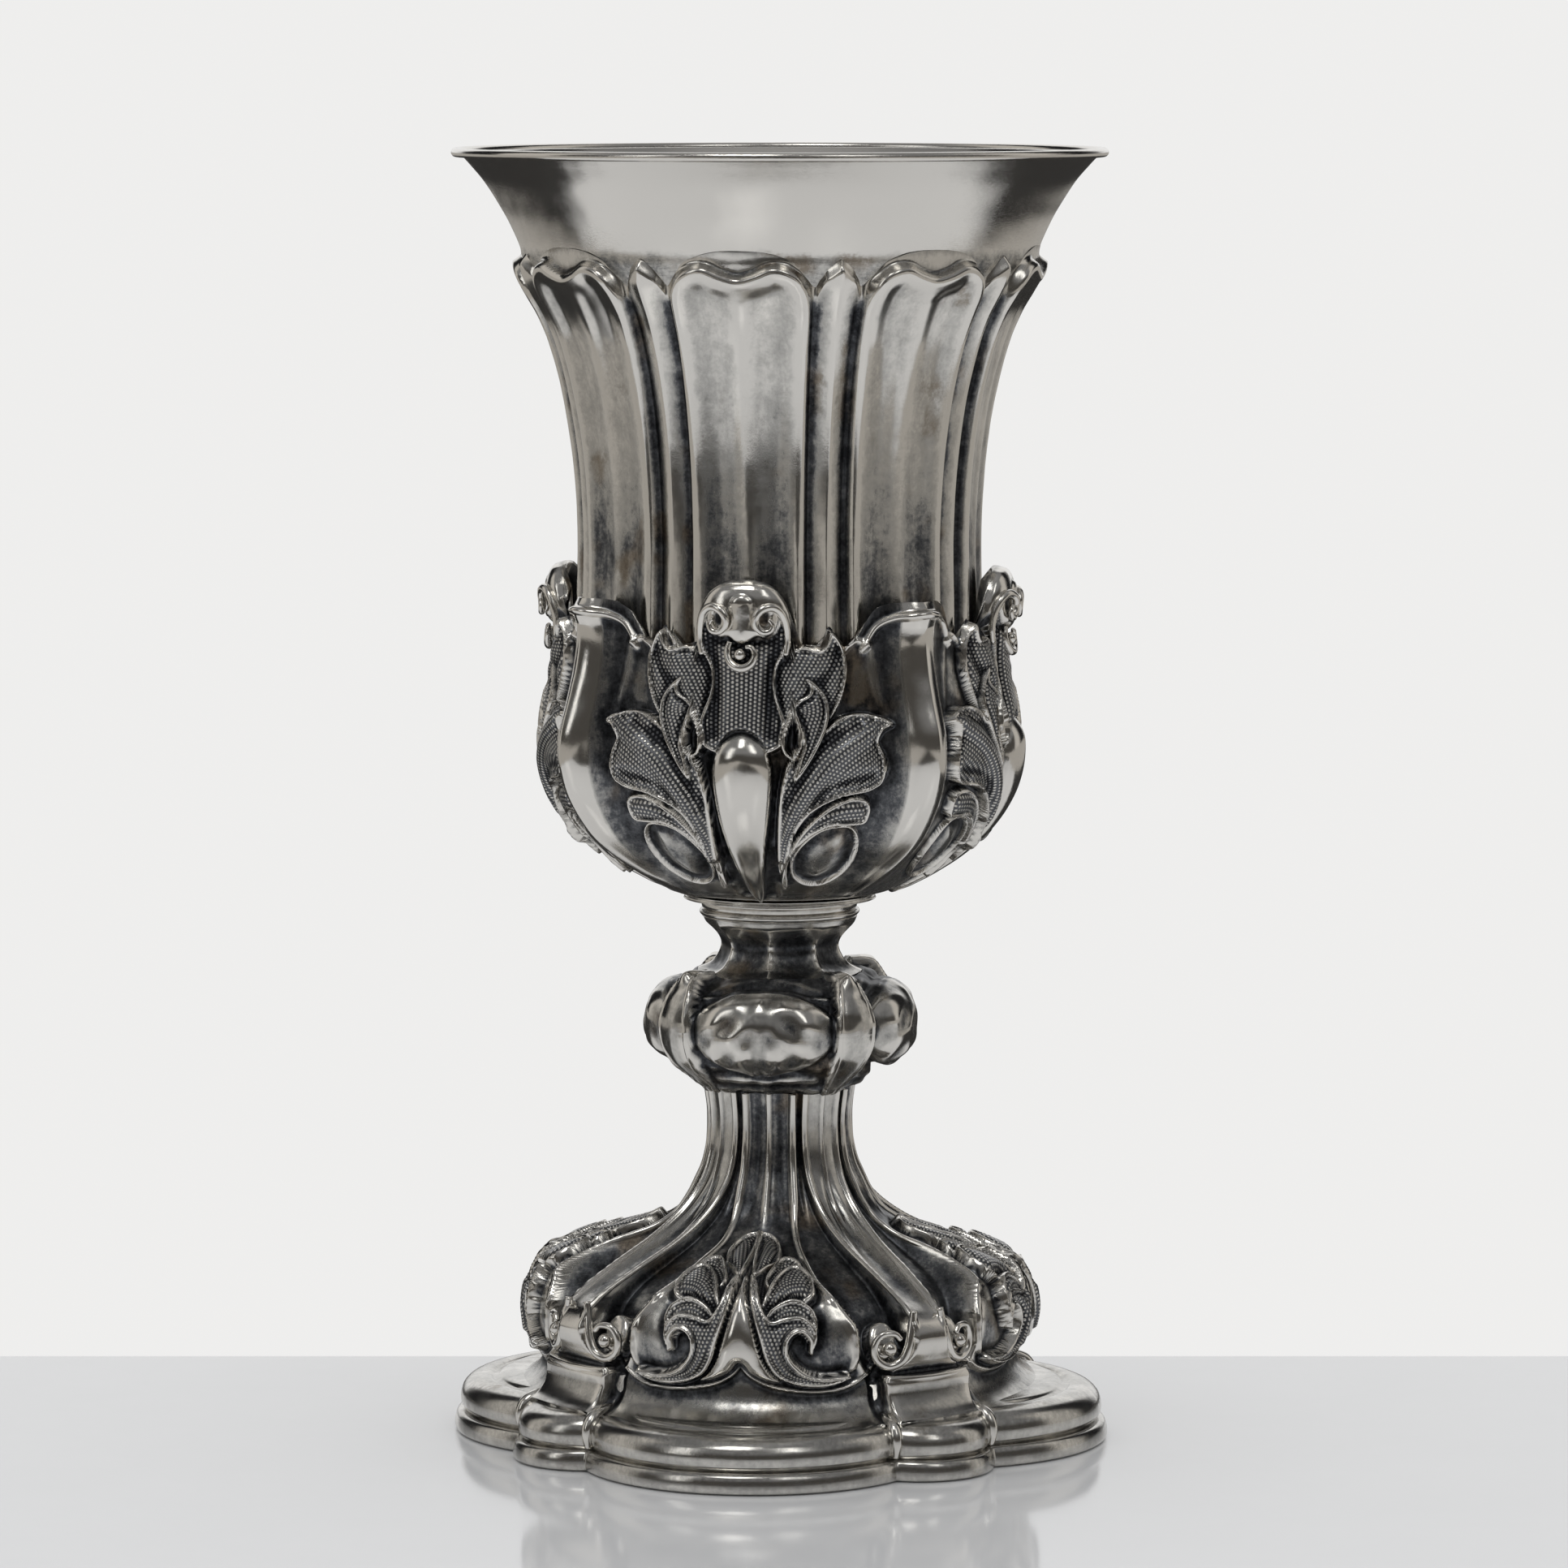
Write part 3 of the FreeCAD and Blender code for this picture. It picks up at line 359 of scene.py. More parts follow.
# ------------------------------------------------------------------ meshes


def link(data, name):
    """An object for a mesh or a camera, in the scene."""
    piece = bpy.data.objects.new(name, data)
    bpy.context.scene.collection.objects.link(piece)
    return piece


def settle(piece, body, node):
    """Rides a piece on its body and hides the CAD node it stands for."""
    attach(piece, body)
    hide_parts(node)


def make_piece(name, points, faces, fields, material, flat_from=None):
    """A mesh piece from points in millimetres; faces from flat_from on are flat-shaded."""
    mesh = bpy.data.meshes.new(name)
    mesh.from_pydata((points * MM).tolist(), [], faces)
    smoothness = np.ones(len(mesh.polygons), bool)
    if flat_from is not None:
        smoothness[flat_from:] = False
    mesh.polygons.foreach_set("use_smooth", smoothness)
    for field, values in fields.items():
        layer = mesh.attributes.new(field, "FLOAT", "POINT")
        layer.data.foreach_set("value", np.asarray(values, np.float32))
    mesh.materials.append(material)
    mesh.update()
    return link(mesh, name)


def quads(grid, closed):
    """Faces between the neighbouring points of a grid, whose columns may close into a ring."""
    right = np.roll(grid, -1, 1) if closed else grid[:, 1:]
    left = grid if closed else grid[:, :-1]
    return np.stack([left[:-1], right[:-1], right[1:], left[1:]], -1).reshape(-1, 4)


def lowest_near(rise, rows_at, cols_at, reach, closed):
    """The lowest rise within reach of each chosen row and column of a grid."""
    width = rise.shape[1]
    low = np.empty((len(rows_at), len(cols_at)))
    for k, col in enumerate(cols_at):
        near = np.arange(col - reach, col + reach + 1)
        near = near % width if closed else np.clip(near, 0, width - 1)
        strip = rise[:, near].min(1)
        low[:, k] = [strip[max(row - reach, 0): row + reach + 1].min() for row in rows_at]
    return low


def sheet_piece(name, relief, material, wall=0.7, middle=0.0, wraps=1):
    """Closed sheet from a finished relief, mirrored about its first column.

    With wraps above one, the mirrored sector is repeated so many times into a full ring. The inner skin
    has only some of the outer skin's points, and lies a wall below the lowest point round each of them.
    """
    rows, cols = relief.radius.shape
    closed = wraps > 1
    order = np.concatenate([np.arange(cols - 1, 0, -1), np.arange(cols)])
    flip = np.concatenate([-np.ones(cols - 1), np.ones(cols)])
    turn = flip * relief.angles[order] + middle
    if closed:
        turn = np.concatenate([turn[:-1] + k * 360 / wraps for k in range(wraps)])
        order, flip = np.tile(order[:-1], wraps), np.tile(flip[:-1], wraps)
    turn = np.radians(turn)
    width = len(order)

    def spread(parts):
        """(outward, round, up) parts of the relief as x, y and z over the whole sheet."""
        mirror = np.stack([np.ones(width), flip, np.ones(width)], -1)
        return upright(parts[:, order] * mirror, turn)

    outer, normal = spread(relief.final), spread(relief.out)
    lift = relief.uneven * (unevenness(outer, 17, relief.seed)
                            + 0.3 * unevenness(outer, 4.5, relief.seed + 1))
    outer = outer + lift[..., None] * normal

    skip = max(int(INNER_STEP / GRID), 2)
    ri = np.unique(np.append(np.arange(0, rows, skip), rows - 1))
    ci = np.arange(0, width, skip)
    if not closed:
        ci = np.unique(np.append(ci, width - 1))
    low = lowest_near(relief.rise[:, order], ri, ci, skip, closed)
    chosen = np.ix_(ri, ci)
    ground = spread(np.stack([relief.radius, 0 * relief.radius, relief.height], -1))
    inner = ground[chosen] + (low - wall)[..., None] * normal[chosen]
    points = np.vstack([outer.reshape(-1, 3), inner.reshape(-1, 3)])

    number = np.arange(rows * width).reshape(rows, width)
    under = rows * width + np.arange(low.size).reshape(low.shape)
    faces = quads(number, closed).tolist()
    smooth_count = len(faces)
    faces += quads(under, closed)[:, ::-1].tolist()
    stops = list(ci) + [width] * closed
    for row, under_row, upward in ((0, 0, False), (rows - 1, -1, True)):
        for k in range(len(stops) - 1):
            long_edge = [int(number[row, c % width]) for c in range(stops[k], stops[k + 1] + 1)]
            face = long_edge + [int(under[under_row, (k + 1) % len(ci)]), int(under[under_row, k])]
            faces.append(face if upward else face[::-1])
    sides = [] if closed else [(0, False), (-1, True)]
    for col, rightward in sides:
        for k in range(len(ri) - 1):
            long_edge = number[ri[k]: ri[k + 1] + 1, col].tolist()
            face = long_edge + [int(under[k + 1, col]), int(under[k, col])]
            faces.append(face[::-1] if rightward else face)

    fields = {}
    for field in FIELDS:
        shown = relief.final_shine if field == "shine" else getattr(relief, field)
        fields[field] = np.append(shown[:, order], np.full(low.size, INNER_SHINE * (field == "shine")))
    piece = make_piece(name, points, faces, fields, material, smooth_count)
    border = np.zeros((rows, width), bool)
    border[[0, -1]] = True
    border[:, [0, -1]] |= not closed
    facing = np.zeros((len(points), 3))
    facing[: rows * width] = np.where(border[..., None], spread(relief.facing), 0).reshape(-1, 3)
    piece.data.normals_split_custom_set_from_vertices(facing.tolist())
    return piece


def quarters(node, body, relief, wall):
    """The same leaf sector four times round the axis, one piece for each quarter."""
    for quarter in range(LEAVES):
        piece = sheet_piece(f"{node}_{quarter + 1}", relief, CHASED, wall, quarter * QUARTER)
        settle(piece, body, node)


def ring(node, body, relief, wall, wraps):
    """A sheet that runs all round the axis in one piece."""
    settle(sheet_piece(node, relief, CHASED, wall, wraps=wraps), body, node)


def turned_piece(node, body, outline, material, step=0.7, shine=0.7, uneven=0.05, seed=3, closed=True,
                 radius_at=None):
    """Replaces a CAD node by a piece turned round the axis from a closed line of (radius, height) points.

    An open line starts and ends on the axis. radius_at(angle, radius, height) may reshape it.
    """
    line = np.asarray(outline, float)
    girth = 2 * np.pi * line[:, 0].max()
    cols = int(np.clip(girth / step, 48, 900) // 4 * 4)
    turn = np.linspace(0, 2 * np.pi, cols, endpoint=False)
    radius = np.repeat(line[:, 0][:, None], cols, 1)
    height = np.repeat(line[:, 1][:, None], cols, 1)
    if radius_at is not None:
        radius = radius_at(np.degrees(turn)[None, :], radius, height)
    points = np.stack([radius * np.cos(turn), radius * np.sin(turn), height], -1)
    wave = uneven * (unevenness(points, 19, seed) + 0.25 * unevenness(points, 5, seed + 1))
    points[..., 0] += wave * np.cos(turn)
    points[..., 1] += wave * np.sin(turn)
    rows = len(line)
    number = np.arange(rows * cols).reshape(rows, cols)
    if not closed:
        number[0], number[-1] = number[0, 0], number[-1, 0]
        points[0], points[-1] = (0, 0, line[0, 1]), (0, 0, line[-1, 1])
    used, number = np.unique(number, return_inverse=True)
    number = number.reshape(rows, cols)
    grid = np.vstack([number, number[:1]]) if closed else number
    below, above = grid[:-1], grid[1:]
    faces = np.stack([below, np.roll(below, -1, 1), np.roll(above, -1, 1), above], -1).reshape(-1, 4)
    faces = [list(dict.fromkeys(face)) for face in faces.tolist()]
    glow = np.broadcast_to(np.reshape(shine, (-1, 1)), (rows, cols))
    fields = dict.fromkeys(FIELDS, np.zeros(len(used)))
    fields["shine"] = glow.reshape(-1)[used]
    settle(make_piece(node, points.reshape(-1, 3)[used], faces, fields, material), body, node)


def wire_piece(name, paths, radius, material, shine=0.95, sides=14):
    """Round wires along 3-D paths, thinning to a bead at their ends."""
    points, faces = [], []
    for path, scale in paths:
        path = np.asarray(path, float)
        along = unit(np.gradient(path, axis=0))
        up = path[0] * (1, 1, 0)
        start = len(points)
        for spot, way, size in zip(path, along, scale):
            up = unit(up - way * (up @ way))
            side = np.cross(way, up)
            for k in range(sides):
                turn = 2 * math.pi * k / sides
                points.append(spot + radius * size * (math.cos(turn) * up + math.sin(turn) * side))
        count = len(path)
        for i in range(count - 1):
            for k in range(sides):
                a, b = start + i * sides + k, start + i * sides + (k + 1) % sides
                faces.append([a, a + sides, b + sides, b][::-1])
        faces.append([start + k for k in range(sides)][::-1])
        faces.append([start + (count - 1) * sides + k for k in range(sides)])
    points = np.array(points)
    fields = dict.fromkeys(FIELDS, np.zeros(len(points)))
    fields["shine"] = np.full(len(points), shine)
    return make_piece(name, points, faces, fields, material)


# ------------------------------------------------------------------ materials


class Graph:
    """A short way to write a node tree: each call makes a node and returns its first output."""

    def __init__(self, name):
        self.material = bpy.data.materials.new(name)
        self.material.use_nodes = True
        self.tree = self.material.node_tree
        self.shader = self.tree.nodes["Principled BSDF"]

    def join(self, socket, value):
        """Plugs a value, or another node's output, into a socket."""
        if isinstance(value, bpy.types.NodeSocket):
            self.tree.links.new(value, socket)
        else:
            socket.default_value = value

    def node(self, kind, inputs=(), output=0, **settings):
        """A node with its settings and inputs (by place or by name)."""
        made = self.tree.nodes.new("ShaderNode" + kind)
        for key, value in settings.items():
            setattr(made, key, value)
        pairs = inputs.items() if isinstance(inputs, dict) else enumerate(inputs)
        for key, value in pairs:
            self.join(made.inputs[key], value)
        return made.outputs[output]

    def maths(self, operation, *inputs, **settings):
        """A sum worked out on numbers."""
        return self.node("Math", inputs, operation=operation, **settings)

    def sum(self, a, b):
        return self.maths("ADD", a, b)

    def minus(self, a, b):
        return self.maths("SUBTRACT", a, b)

    def times(self, a, b):
        return self.maths("MULTIPLY", a, b)

    def between(self, value, low, low_end, high_end, high):
        """One from low_end to high_end, falling to zero at low and at high."""
        return self.times(self.ramp(value, low, low_end), self.ramp(value, high, high_end))

    def clipped(self, a):
        """A number kept between zero and one."""
        return self.maths("ADD", a, 0.0, use_clamp=True)

    def ramp(self, value, low, high, start=0.0, end=1.0):
        """start below low, end above high, eased between."""
        inputs = {"Value": value, "From Min": low, "From Max": high, "To Min": start, "To Max": end}
        return self.node("MapRange", inputs, interpolation_type="SMOOTHSTEP")

    def mix(self, share, a, b):
        """Colour a blended towards colour b."""
        made = self.tree.nodes.new("ShaderNodeMix")
        made.data_type = "RGBA"
        self.join(made.inputs[0], share)
        self.join(made.inputs[6], a)
        self.join(made.inputs[7], b)
        return made.outputs[2]

    def field(self, name):
        """A value stored at the mesh's points."""
        return self.node("Attribute", output=2, attribute_name=name)

    def noise(self, size, detail=4.0, rough=0.6, stretch=(1, 1, 1)):
        """Noise whose features are about size millimetres across in the piece's own frame."""
        place = self.node("TexCoord", output=3)
        scaled = self.node("Mapping", {"Vector": place, "Scale": stretch})
        inputs = {"Vector": scaled, "Scale": 1 / (size * MM), "Detail": detail, "Roughness": rough}
        return self.node("TexNoise", inputs)

    def parts(self, vector):
        """The three parts of a vector."""
        made = self.tree.nodes.new("ShaderNodeSeparateXYZ")
        self.join(made.inputs[0], vector)
        return made.outputs

    def in_camera(self, vector, kind):
        """A world vector or point as the camera sees it: x right, y up, z into the picture."""
        places = {"convert_from": "WORLD", "convert_to": "CAMERA"}
        return self.parts(self.node("VectorTransform", (vector,), vector_type=kind, **places))

    def ray(self, kind):
        """One for rays of a kind, zero for others."""
        return self.tree.nodes.new("ShaderNodeLightPath").outputs[f"Is {kind} Ray"]

    def set(self, **values):
        """Sets the surface shader's inputs by name, with _ for a space."""
        for key, value in values.items():
            self.join(self.shader.inputs[key.replace("_", " ")], value)


BRIGHT = (0.80, 0.775, 0.73, 1)
DULLED = (0.49, 0.48, 0.455, 1)
TARNISH = (0.135, 0.14, 0.15, 1)
DARKEST = (0.022, 0.023, 0.026, 1)
STAIN = (0.25, 0.195, 0.135, 1)


def silver(name, tarnish=0.5, grain=1.0, brushed=False):
    """Oxidised silver: bright where rubbed and where highlights are painted, blue-grey to black where tarnish
    is left and where shade is painted.
    """
    g = Graph(name)
    shine, matt, row, dot = (g.field(field) for field in FIELDS)
    cloud = g.noise(9, 5, 0.62)
    specks = g.noise(0.7, 3, 0.7)
    blotch = g.noise(2.6, 6, 0.7)
    stretch = (1, 1, 9) if brushed else (3, 3, 0.7)
    streaks = g.noise(3.2, 6, 0.75, stretch)
    # the shine read here holds painted highlights and painted shade as well as rubbed wear
    rubbed_and_painted_light = shine
    for patches, share in ((cloud, 0.55), (blotch, 0.5), (streaks, 0.35), (specks, 0.3)):
        rubbed_and_painted_light = g.sum(rubbed_and_painted_light, g.times(g.minus(patches, 0.5), share))
    clean = g.ramp(rubbed_and_painted_light, 0.5 * tarnish + 0.04, 0.5 * tarnish + 0.48)
    deep = g.ramp(rubbed_and_painted_light, -0.15, 0.22)
    base = g.mix(clean, DULLED, BRIGHT)
    base = g.mix(g.ramp(rubbed_and_painted_light, 0.08, 0.40), TARNISH, base)
    stain = g.times(g.ramp(g.noise(13, 3, 0.5), 0.56, 0.70), g.ramp(rubbed_and_painted_light, 0.60, 0.30))
    base = g.mix(g.times(stain, 0.7), base, STAIN)
    base = g.mix(deep, DARKEST, base)
    line = g.maths("ROUND", row)
    across = g.minus(row, line)
    along = g.sum(dot, g.times(g.maths("FLOORED_MODULO", line, 2.0), 0.5))
    along = g.minus(along, g.maths("ROUND", along))
    away = g.maths("SQRT", g.sum(g.times(across, across), g.times(along, along)))
    pip = g.ramp(away, 0.44, 0.14)
    wear_and_painted_light = g.sum(shine, g.times(g.minus(cloud, 0.5), 0.7))
    pip_tone = g.mix(g.ramp(wear_and_painted_light, 0.0, 0.62), TARNISH, BRIGHT)
    between = g.mix(g.ramp(wear_and_painted_light, 0.2, 0.9), DARKEST, TARNISH)
    matted = g.mix(g.ramp(pip, 0.15, 0.75), between, pip_tone)
    base = g.mix(matt, base, matted)
    rough = g.ramp(rubbed_and_painted_light, 0.0, 0.7, 0.36, 0.13)
    rough = g.sum(rough, g.times(g.minus(specks, 0.5), 0.08 * grain))
    rough = g.sum(rough, g.times(matt, 0.16))
    scratches = g.noise(1.4, 2, 0.8, (1, 1, 30) if brushed else (14, 14, 0.5))
    texture = g.sum(g.times(specks, 0.16), g.times(scratches, 0.34 if brushed else 0.22))
    texture = g.sum(texture, g.times(blotch, 0.25))
    height = g.sum(g.times(texture, 0.07 * grain), g.times(g.times(pip, matt), 0.30))
    bump = g.node("Bump", {"Strength": 0.55, "Distance": 0.9 * MM, "Height": height})
    g.set(Base_Color=base, Metallic=1.0, Roughness=g.clipped(rough), Normal=bump)
    return g.material


def plain_metal(name, colour, dull, rough, size):
    """Turned metal fittings: fine rings of tool marks, light oxide in patches."""
    g = Graph(name)
    patch = g.noise(size, 5, 0.65)
    rings = g.noise(0.5, 2, 0.5, (0.3, 0.3, 6))
    base = g.mix(g.ramp(patch, 0.35, 0.65), dull, colour)
    bump = g.node("Bump", {"Strength": 0.25, "Distance": 0.2 * MM, "Height": rings})
    g.set(Base_Color=base, Metallic=1.0, Roughness=g.ramp(patch, 0.3, 0.7, rough + 0.15, rough), Normal=bump)
    return g.material


CHASED = silver("chased_silver", 0.62)
POLISHED = silver("polished_silver", 0.40, 0.8, brushed=True)
BRASS = plain_metal("brass_fittings", (0.76, 0.56, 0.25, 1), (0.33, 0.22, 0.10, 1), 0.28, 4)
STEEL = plain_metal("steel_rod", (0.56, 0.56, 0.57, 1), (0.26, 0.24, 0.22, 1), 0.32, 6)


# ------------------------------------------------------------------ bowl: leaf calyx

CALYX_LOW = foot_of("leaf_calyx") + 0.05
CALYX_GROUND = [(CALYX_LOW, 15.5), (102.3, 18.6), (103.6, 22.4), (105.6, 26.0), (108.6, 30.2), (111.4, 33.4),
                (114.4, 36.2), (120.2, 39.8), (128.0, 42.0), (134.0, 41.9), (142.0, 40.6), (150.0, 39.9),
                (156.0, 40.1), (163.5, 40.9)]
PETAL_RIDGE = [(CALYX_LOW, 0.3), (104, 0.9), (107, 2.6), (111, 4.4), (118, 6.0), (126, 7.0), (133, 7.4),
               (140, 6.6), (148, 5.4), (154, 5.2), (156.6, 5.8), (158.8, 4.2)]
PETAL_SECTION = [(0, 1), (1.2, 0.95), (3.6, 0.76), (5.5, 0.50), (8.5, 0.2), (12, 0.04), (16, 0)]
CALYX_EDGE = [(0, 163.2), (3.6, 163.0), (6.8, 162.2), (9.4, 160.5), (11.2, 158.1), (12.3, 155.2),
              (12.6, 152.9), (13.4, 151.6), (15.5, 151.4), (19, 151.3), (20.6, 152.8), (21.9, 154.6),
              (23.4, 153.4), (25.2, 151.2), (27, 151.0), (29.5, 152.4), (31, 153.8), (33, 156.6),
              (36, 158.2), (40, 158.8), (45, 158.8)]


def calyx_ground(step):
    """The calyx before its leaf is raised: a round cup with a sharp petal ridge on each diagonal."""
    angles = np.linspace(0, HALF, int(math.radians(HALF) * 43 / step))
    heights = even_heights(CALYX_GROUND, step, CALYX_LOW, 163.2)
    share = (heights - CALYX_LOW) / (heights[-1] - CALYX_LOW)
    edge = eased(CALYX_EDGE, angles)
    height = CALYX_LOW + (edge - CALYX_LOW) * share[:, None]
    away = HALF - angles
    section = eased(PETAL_SECTION, away)
    radius = eased(CALYX_GROUND, height) + eased(PETAL_RIDGE, height) * section
    return Relief(angles, radius, height)


def calyx_leaf(step):
    """The chased leaf: top curl, three pairs of lobes, eye, and the smooth nose between them."""
    r = calyx_ground(step)
    away = HALF - r.angle
    band = smooth(5.4, 4.6, away)
    r.shine = 0.34 + 0.62 * band - 0.16 * hill(away - 9.5, 5)
    # the petal's rolled lip and its lower side arch, with painted highlights along them
    r.ridge([(31.2, 150.4), (32.6, 152.4), (34.8, 154.6), (38.5, 156.0), (42, 156.4), (45, 156.7)], 0.9, 1.1,
            1.0)
    r.ridge([(26, 150.1), (27.6, 151.5), (29.5, 152.0), (31.3, 151.6), (32.8, 151.0)], 0.6, 0.8, 1.0)
    r.ridge([(32.8, 150.6), (33.5, 146.5), (34.7, 142), (35.4, 137)], 0.35, 1.5)
    # dome behind the leaf's top curl
    dome = [(0, 163.3), (3.6, 163.1), (6.8, 162.3), (9.4, 160.6), (11.3, 158.1), (12.3, 155.2), (8.5, 150)]
    r.boss(both_sides(dome), 3.3, 6.5, 0.5, 0.85, 0.7)
    # upper pair of lobes
    r.lobe([(7.6, 147.4), (9.4, 149.0), (12.4, 150.6), (15.5, 151.2), (19.2, 150.6), (20.7, 151.6),
            (21.6, 153.8), (22.4, 153.8), (24.4, 152.0), (26.0, 149.4), (26.3, 146.2), (25.2, 142.6),
            (23.2, 139.4), (20, 136.6), (12, 133.5), (9, 137), (7.4, 143)], 1.3, 1.0, spine=[(8, 130),
                                                                                             (11, 138),
                                                                                             (15, 144),
                                                                                             (19, 149),
                                                                                             (22, 155)],
           swell=3)
    # painted highlight along the lobes' crest, and painted shade along the groove below it
    r.ridge([(10.6, 137), (13.8, 143.6), (17.6, 148.2), (21.6, 152.8)], 0.8, 2.4, 1.0)
    r.ridge([(14, 138), (18, 143), (22.4, 147.4), (23.4, 150)], -0.5, 1.7, 0.3)
    # stalk and top of the leaf
    stalk = [(0, 152.6), (3, 153.0), (6.6, 153.4), (8.4, 155.2), (9.4, 157.2), (10.8, 156.4), (11.3, 155.0),
             (11.5, 152.6), (10.6, 150.2), (9.2, 148.4), (8.3, 146.4), (8.1, 144.0), (8.7, 141.4),
             (9.9, 139.0), (10.5, 137.0), (9.8, 134.8), (8.6, 132.6)]
    r.lobe(both_sides(stalk, 131), 1.9, 1.2, spine=[(0, 120), (0, 135), (0, 148), (0, 164)], swell=4,
           spread=(0.85, 1.1))
    r.ridge([(6.4, 135), (6.4, 140), (7.0, 147), (8.2, 152)], -0.8, 1.9)
    r.ridge([(9.9, 134.2), (8.6, 132.0), (5.5, 131.2)], -0.3, 1.3, 0.25)
    r.shine *= 1 - 0.55 * r.matt * hill(np.abs(r.angle) - 7.6, 3.2) * smooth(131, 136, r.height) * (away > 33)
    # lowest curl and the rimmed eye under it
    r.lobe([(9.6, 107.4), (10.6, 112), (13.6, 116.6), (17.6, 120.2), (22.4, 122.8), (27, 124.0),
            (31.2, 123.6), (32.6, 121.8), (31.6, 119.4), (27.4, 118.9), (22, 118.8), (17.2, 117.0),
            (13.4, 114.0), (11.6, 110.6), (12.2, 107.2)], 1.3, 0.9, spine=[(10.6, 106), (12.2, 112.6),
                                                                           (17.4, 118.2), (24, 121),
                                                                           (33, 121.4)], swell=1.6)
    eye = [(26.6, 118.6), (29.9, 117.2), (31.6, 114.2), (31.4, 111.2), (29.2, 108.8), (24.4, 107.2),
           (18.2, 107.2), (13.8, 108.8), (12.8, 111.6), (15.2, 115.0), (20.2, 117.9)]
    d = r.depth(flowing(eye, True))
    inside = smooth(-0.2, 0.3, d)
    r.lay(inside, 0.35 - 0.5 * smooth(0, 1.2, d) + 0.9 * smooth(0.8, 4.6, d),
          0.04 + 0.12 * smooth(1.0, 3.5, d))
    r.wire(eye, 0.29, 0.7, closed=True)
    # big pair of lobes
    r.lobe([(10.3, 111), (13.2, 118.2), (17.8, 122.2), (24, 124.4), (30, 125), (34.3, 126.2), (35.8, 128.6),
            (35.2, 131.4), (33.9, 133.7), (35.0, 135.4), (37.2, 136.5), (36.6, 137.6), (33.5, 138.3),
            (29, 138.9), (24, 138.2), (20.4, 136.2), (16, 132.6), (11.4, 130.6), (9.4, 126), (8.4, 118),
            (8.6, 111)], 1.9, 1.1, spine=[(8.6, 108), (10.3, 116), (14, 123.4), (20, 129.3), (27, 133.4),
                                          (38, 137.6)], swell=3.2)
    # painted highlights along the lobes' crests, and painted shade along the grooves between them
    r.ridge([(9.7, 114), (13.3, 121.8), (19, 128.4), (26.3, 133.2), (34, 136.2)], 0.95, 2.4, 1.0)
    r.ridge([(11.6, 116.4), (16, 122.0), (22, 125.9), (32, 128.0)], -0.55, 1.8, 0.35)
    r.ridge([(11.0, 123), (14.6, 129.0), (20, 133.6), (28, 137)], -0.55, 1.7, 0.3)
    r.ridge([(10.4, 113.6), (13.6, 118.6), (19, 123.4), (27, 126)], 0.4, 1.6, 0.85)
    # middle pair of lobes with the drop-shaped eye beside the stalk
    r.lobe([(11.9, 139.6), (13.7, 141.3), (16.0, 142.4), (16.5, 143.7), (15.4, 145.0), (16.0, 145.3),
            (18.5, 143.9), (20.5, 141.8), (21.2, 139.4), (20.4, 136.2), (17.4, 131.6), (13.6, 127.6),
            (12.4, 127.6), (13.6, 131), (14.5, 133), (14.3, 135.2), (13.4, 137.4)], 2.1, 0.8,
           spine=[(11, 125), (14, 130.4), (16.8, 136), (18.2, 140), (15, 146)], swell=2)
    drop = [(12.5, 139.2), (13.5, 137.0), (14.1, 134.8), (13.7, 132.6), (12.2, 131.3), (10.5, 131.9),
            (9.9, 133.8), (10.6, 136.2), (11.8, 138.2)]
    d = r.depth(flowing(drop, True))
    inside = smooth(-0.15, 0.35, d)
    r.lay(inside, 0.3 + 1.2 * smooth(0.5, 1.5, d), 0.14)
    r.wire(drop, 0.33, 2.7, closed=True, sink=0.1)
    # channels beside the nose, sunk and painted dark as shade
    r.ridge([(9.4, 131.4), (9.4, 126.8), (8.6, 122.4), (8.1, 118), (7.5, 113.4), (6.8, 108.4), (6.0, 104)],
            -0.6, 1.9, 0.3)
    # nose
    nose = [(0, 136.0), (3.4, 135.1), (6.0, 132.8), (7.2, 129.4), (7.2, 126), (6.8, 122), (6.0, 117),
            (5.0, 112.6), (3.9, 108.2), (2.7, 104.6)]
    d = r.depth(flowing(both_sides(nose, 102.6), True))
    inside = smooth(-0.2, 0.25, d)
    half = eased([(102, 0.8), (108, 1.8), (114, 2.9), (120, 4.1), (128, 5.4), (136, 5.4)], r.height)
    share = np.clip(d / half, 0, 1)
    tall = eased([(102, 0.8), (106, 1.4), (112, 2.4), (120, 3.5), (128, 3.9), (133, 3.7), (136.2, 2.6)],
                 r.height)
    body = tall * (0.25 + 0.75 * np.sqrt(1 - (1 - share) ** 2))
    r.lay(inside, body, 0.62 + 0.25 * smooth(0.4, 1, share))
    # the tip that rolls over at the leaf's top: its two wings, and the hollow for the ring below
    wings = [(0, 161.0), (2.4, 160.2), (3.2, 158.0), (3.3, 156.0), (4.6, 155.0), (7.0, 154.5), (5.6, 153.0),
             (3.4, 153.2), (1.5, 152.0)]
    r.boss(both_sides(wings, 151.4), 0.9, 2.4, 3.1, 0.9, 0.05)
    r.ridge([(0, 151.0), (0, 148.8)], -0.7, 2.6, 0.1)
    r.ridge([(5.5, 157.2), (5.5, 156.2)], -0.7, 1.7, 0.05)
    return r


leaf = calyx_leaf(GRID).finish(0.05, 21)
quarters("leaf_calyx", "bowl", leaf, 0.9)


def on_leaf(relief, path, lift):
    """3-D points a lift above the finished relief at (angle, height) places."""
    found = []
    for spot, angle, up in zip(relief.spots(path), path[:, 0], lift):
        mirror = np.array((1, -1, 1)) if angle < 0 else 1
        away = np.linalg.norm(relief.base - spot * mirror, axis=-1)
        nearest = np.unravel_index(np.argmin(away), away.shape)
        found.append(spot + relief.normal[nearest] * mirror * up)
    return np.array(found)


